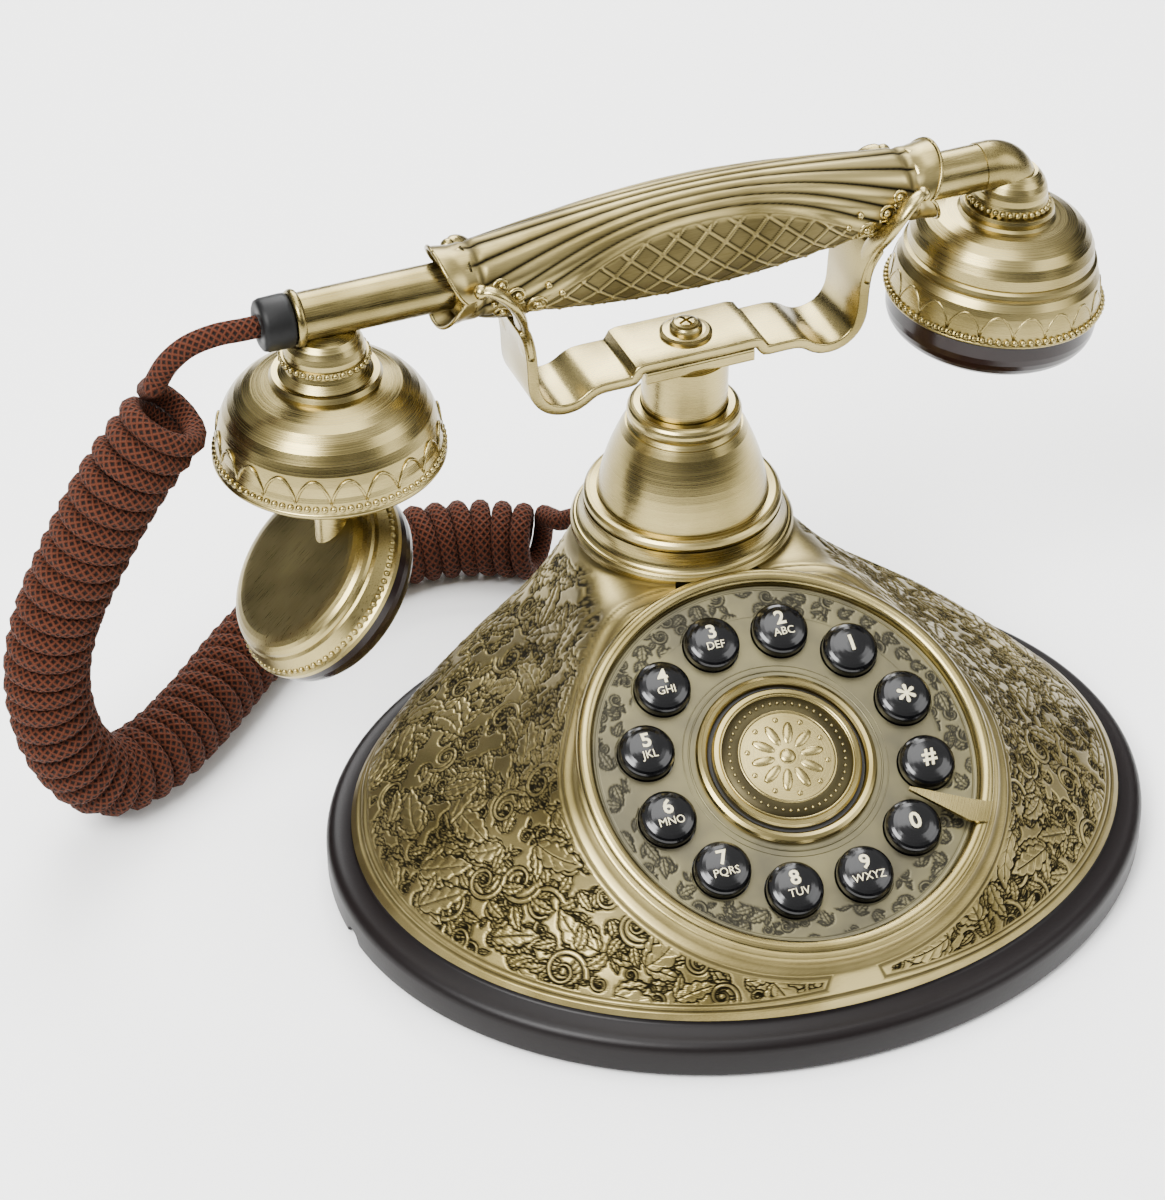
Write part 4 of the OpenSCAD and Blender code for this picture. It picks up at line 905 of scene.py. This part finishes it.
def makeGrip(s):
    mesh, u, v = gridMesh("castGrip", 224, 400)
    theta = 2 * math.pi * u - math.pi   # 0 on top, positive to the front
    x = s["half"] * (2 * v - 1)
    bulge = np.cos(np.minimum(np.abs(x) / 63, 1) * math.pi / 2) ** 1.25
    radius = s["endR"] + (s["middleR"] - s["endR"]) * bulge
    turnAway = np.abs(theta)
    bound = np.radians(50 + 82 * np.clip(np.abs(x) / s["panelReach"], 0, 1.3) ** 2.4)
    inPanel = smoothStep(0.0, 0.06, turnAway - bound)
    # lengthwise ribs that follow the panel's edge
    phase = s["ribs"] * np.clip(turnAway / bound, 0, 1)
    rib = np.abs(np.sin(math.pi * phase)) ** 0.55
    ribFade = 1 - smoothStep(60, 66, np.abs(x))
    # lattice of thin raised lines
    arc = radius * (turnAway - math.pi / 2)
    lines = []
    for sign in (1, -1):
        slant = (x + sign * 1.15 * arc) / s["cell"]
        lines.append(np.abs(slant - np.round(slant)) * s["cell"])
    away = np.minimum(*lines)
    knot = np.maximum(*lines)
    lattice = 1 - smoothStep(0.25, 0.85, away)
    bead = 1 - smoothStep(0.4, 1.0, knot)
    edgeRidge = np.exp(-((turnAway - bound) * radius / 0.8) ** 2)
    relief = ((1 - inPanel) * (0.55 * rib * ribFade) + inPanel * (0.5 * lattice + 0.25 * bead - 0.25)
              + 0.75 * edgeRidge * ribFade)
    # flared leaf collars at both ends
    flare = smoothStep(58, 70, np.abs(x))
    lobes = np.abs(np.cos(theta)) ** 0.7
    radius = radius + 0.9 * flare ** 2 + relief - 0.5 * np.exp(-((np.abs(x) - 60) / 1.3) ** 2)
    xx = x - np.sign(x) * flare * 5.0 * (1 - lobes)
    spots = np.c_[xx, -radius * np.sin(theta), radius * np.cos(theta)]
    patinaAndShade = ((1 - inPanel) * (1 - rib) ** 0.7 * 1.25 * ribFade
              + inPanel * (0.55 * (1 - lattice) + 0.4 * np.exp(-((away - 1.0) / 0.35) ** 2)))
    patinaAndShade = np.maximum(patinaAndShade, 0.8 * np.exp(-((np.abs(x) - 60) / 1.2) ** 2))
    panelEnd = (smoothStep(s["panelReach"] - 6, s["panelReach"] + 4, np.abs(x))
                * (1 - smoothStep(57, 60, np.abs(x))))
    patinaAndShade = np.maximum(patinaAndShade, 0.75 * inPanel * panelEnd)
    finishGrid(mesh, spots, patinaAndShade * (1 - 0.8 * edgeRidge), atTube, matGrip, "handset",
               ("handset_grip",), merge=True, flip=True)
    # rolled rims of the collars, and the curls where the ribs end
    def onGrip(x, degrees, lift):
        t = math.radians(degrees)
        bulge = math.cos(min(abs(x) / 63, 1) * math.pi / 2) ** 1.25
        r = s["endR"] + (s["middleR"] - s["endR"]) * bulge + lift
        return (x, -r * math.sin(t), r * math.cos(t))
    curls, balls = [], bmesh.new()
    for sx in (1, -1):
        rim = []
        for t in np.linspace(0, 2 * math.pi, 73):
            r = s["endR"] + 0.95
            rim.append((sx * (s["half"] - 5.0 * (1 - abs(math.cos(t)) ** 0.7)), -r * math.sin(t),
                        r * math.cos(t)))
        curls.append(rim)
        for sy in (1, -1):
            for cx, ct, size, windings in ((46, 112, 3.4, 1.5), (51.5, 92, 3.0, 1.4), (55.5, 74, 2.6, 1.3),
                                           (55, 118, 2.6, 1.2), (50, 136, 2.6, 1.2)):
                curl = []
                for k in range(40):
                    share = k / 39
                    a = 2.2 - windings * 2 * math.pi * share
                    r = size * (1 - 0.72 * share)
                    curl.append(onGrip(sx * (cx + r * math.cos(a)),
                                       sy * (ct + math.degrees(r * math.sin(a) / 12)), 0.35 + 0.3 * share))
                curls.append(curl)
                addBall(balls, onGrip(sx * cx, sy * ct, 0.7), 1.15, 1.0, 10, 8)
            for cx, ct in ((40, 97), (43.5, 84), (57.5, 100), (58, 86)):
                addBall(balls, onGrip(sx * cx, sy * ct, 0.6), 1.0, 1.0, 10, 8)
    setPiece("gripCurls", strandMesh(curls, 0.55, 2), atTube, matTube, "handset")
    setPiece("gripBeads", balls, atTube, matTube, "handset")
    bm = bmesh.new()   # closed ends inside the collars
    for sx in (1, -1):
        rings = [shift(sx * far, 0, 0) @ turn("Y", 90) @ Matrix.Diagonal((r, r, 1, 1))
                 for far, r in ((62, 9.9), (64.5, 9.6), (65, 8.8), (66.4, 6.5))]
        loftRings(bm, rings, 48)
    setPiece("gripEndPlugs", bm, atTube, matTube, "handset")

makeGrip(gripSettings)
print("grip")

bellR = 29.7   # outer radius of both bells

def earWall(depth):
    t = max(0, min(1, (depth - 20.1) / 10.9))
    return bellR - 3.4 + 2.9 * math.sqrt(t)

def mouthWall(depth):
    if depth > 36.7:
        return bellR - 0.9
    t = math.acos(max(-1, min(1, (36.7 - depth) / 22.7)))
    return 14.6 + (bellR - 1 - 14.6) * math.sin(t)

def scallopLines(wall, low, high, count):
    lines = []
    for k in range(count):
        line = []
        for share in np.linspace(0, 1, 17):
            a = 2 * math.pi * (k + share) / count
            depth = low - (low - high) * math.sin(math.pi * share) ** 0.62
            r = wall(depth)
            line.append((r * math.cos(a), r * math.sin(a), -depth))
        lines.append(line)
    return lines

# bead rings: count, radius, height and size; rolls and the plug: radius and height pairs
trimSettings = {
    "arches": 20, "archWire": 0.42, "earArch": (29.2, 23.4), "mouthArch": (39.0, 32.0),
    "earBeads": [(84, bellR - 0.15, -29.9, 0.95), (34, 10.9, -1.9, 0.85)],
    "mouthBeads": [(84, bellR - 0.35, -39.6, 0.95), (34, 11.1, -12.3, 0.9)],
    "capsuleBeads": [(78, 27.2, 2.6, 0.8)],
    "mouthRimRoll": [(bellR - 1.2, -40.6), (bellR + 0.1, -40.9), (bellR + 0.5, -41.5),
                     (bellR + 0.1, -42.2), (bellR - 1.2, -42.6)],
    "earRimRoll": [(bellR - 1.2, -30.6), (bellR + 0.1, -30.7), (bellR + 0.35, -31.1),
                   (bellR + 0.1, -31.5), (bellR - 1.2, -31.6)],
    "tubeEndRing": [(6.4 + 1.1 * math.cos(t), 1.2 + 1.25 * math.sin(t))
                    for t in np.linspace(0, 2 * math.pi, 17)],
    "rubberPlug": [(0, 0), (6.2, 0), (6.9, 0.4), (7.0, 1.5), (6.9, 6.8), (6.5, 7.9), (5.8, 8.3), (3.4, 8.3),
                   (3.2, 8.0), (0, 8.0)],
}

def makeTrim(s):
    for name, wall, place, mat in (("ear", earWall, atEar, matEar), ("mouth", mouthWall, atMouth, matMouth)):
        lines = scallopLines(wall, *s[name + "Arch"], s["arches"])
        setPiece(name + "Arches", strandMesh(lines, s["archWire"]), place, mat, "handset")
    ringEnd = atTube @ shift(-108, 0, 0) @ turn("Y", 90)
    plugEnd = atTube @ shift(-108.1, 0, 0) @ turn("Y", -90)
    for name, place, mat, slot, steps, replaced in (
            ("earBeads", atEar, matEar, "brass_plain", 0, ()),
            ("mouthBeads", atMouth, matMouth, "brass_plain", 0, ()),
            ("mouthRimRoll", atMouth, matMouth, "brass_plain", 120, ()),
            ("earRimRoll", atEar, matEar, "brass_plain", 120, ()),
            ("capsuleBeads", atCapsule, matCapsule, "brass_plain", 0, ()),
            ("tubeEndRing", ringEnd, matTube, "brass_plain", 64, ("tube_end_ring",)),
            ("rubberPlug", plugEnd, matRubber, "rubber_black", 64, ("cord_boot",))):
        bm = bmesh.new()
        if steps:
            addLathe(bm, s[name], steps)
        else:
            for ring in s[name]:
                addBeads(bm, *ring)
        setPiece(name, bm, place, mat, "handset", replaced=replaced)

makeTrim(trimSettings)
print("trim")

worldStrength = 1.05
lightSettings = {
    "key": {"place": (-0.85, -0.55, 1.15), "size": 0.7, "power": 50},   # main light, high on the left
    "fill": {"place": (1.0, -0.6, 0.8), "size": 0.8, "power": 9},   # opens the right side's shadows
    "back": {"place": (0.2, 1.05, 1.0), "size": 0.9, "power": 32},   # edges of the tube and the bells
    "top": {"place": (0.0, 0.15, 1.4), "size": 0.9, "power": 17},   # the dial and the cradle
}
for name, s in lightSettings.items():
    data = bpy.data.lights.new(name, "AREA")
    data.size = s["size"]
    data.energy = s["power"]
    lamp = bpy.data.objects.new(name, data)
    lamp.location = s["place"]
    lamp.rotation_euler = (Vector((-0.02, 0, 0.08)) - Vector(s["place"])).to_track_quat("-Z", "Y").to_euler()
    bpy.context.collection.objects.link(lamp)

world = bpy.data.worlds.new("studio")
bpy.context.scene.world = world
world.use_nodes = True
tree = world.node_tree
sky = addNode(tree, "ShaderNodeTexCoord").outputs["Generated"]
height = addNode(tree, "ShaderNodeSeparateXYZ", links={0: sky}).outputs[2]
grade = colourRamp(tree, height, [(0.0, (0.02, 0.02, 0.02, 1)), (0.28, (0.05, 0.05, 0.05, 1)),
                                  (0.5, (0.8, 0.8, 0.8, 1)), (1.0, (1.0, 1.0, 1.0, 1))])
back = tree.nodes["Background"]
tree.links.new(grade, back.inputs[0])
back.inputs[1].default_value = worldStrength

bm = bmesh.new()
bmesh.ops.create_grid(bm, x_segments=1, y_segments=1, size=6)
floorMesh = bpy.data.meshes.new("floor")
bm.to_mesh(floorMesh)
bm.free()
floor = bpy.data.objects.new("floor", floorMesh)
bpy.context.collection.objects.link(floor)
floorMat, _, floorShader = startMaterial("paleStudioPaper", Roughness=0.9)
floorShader.inputs["Base Color"].default_value = paint("FBFBFA")
floorMesh.materials.append(floorMat)
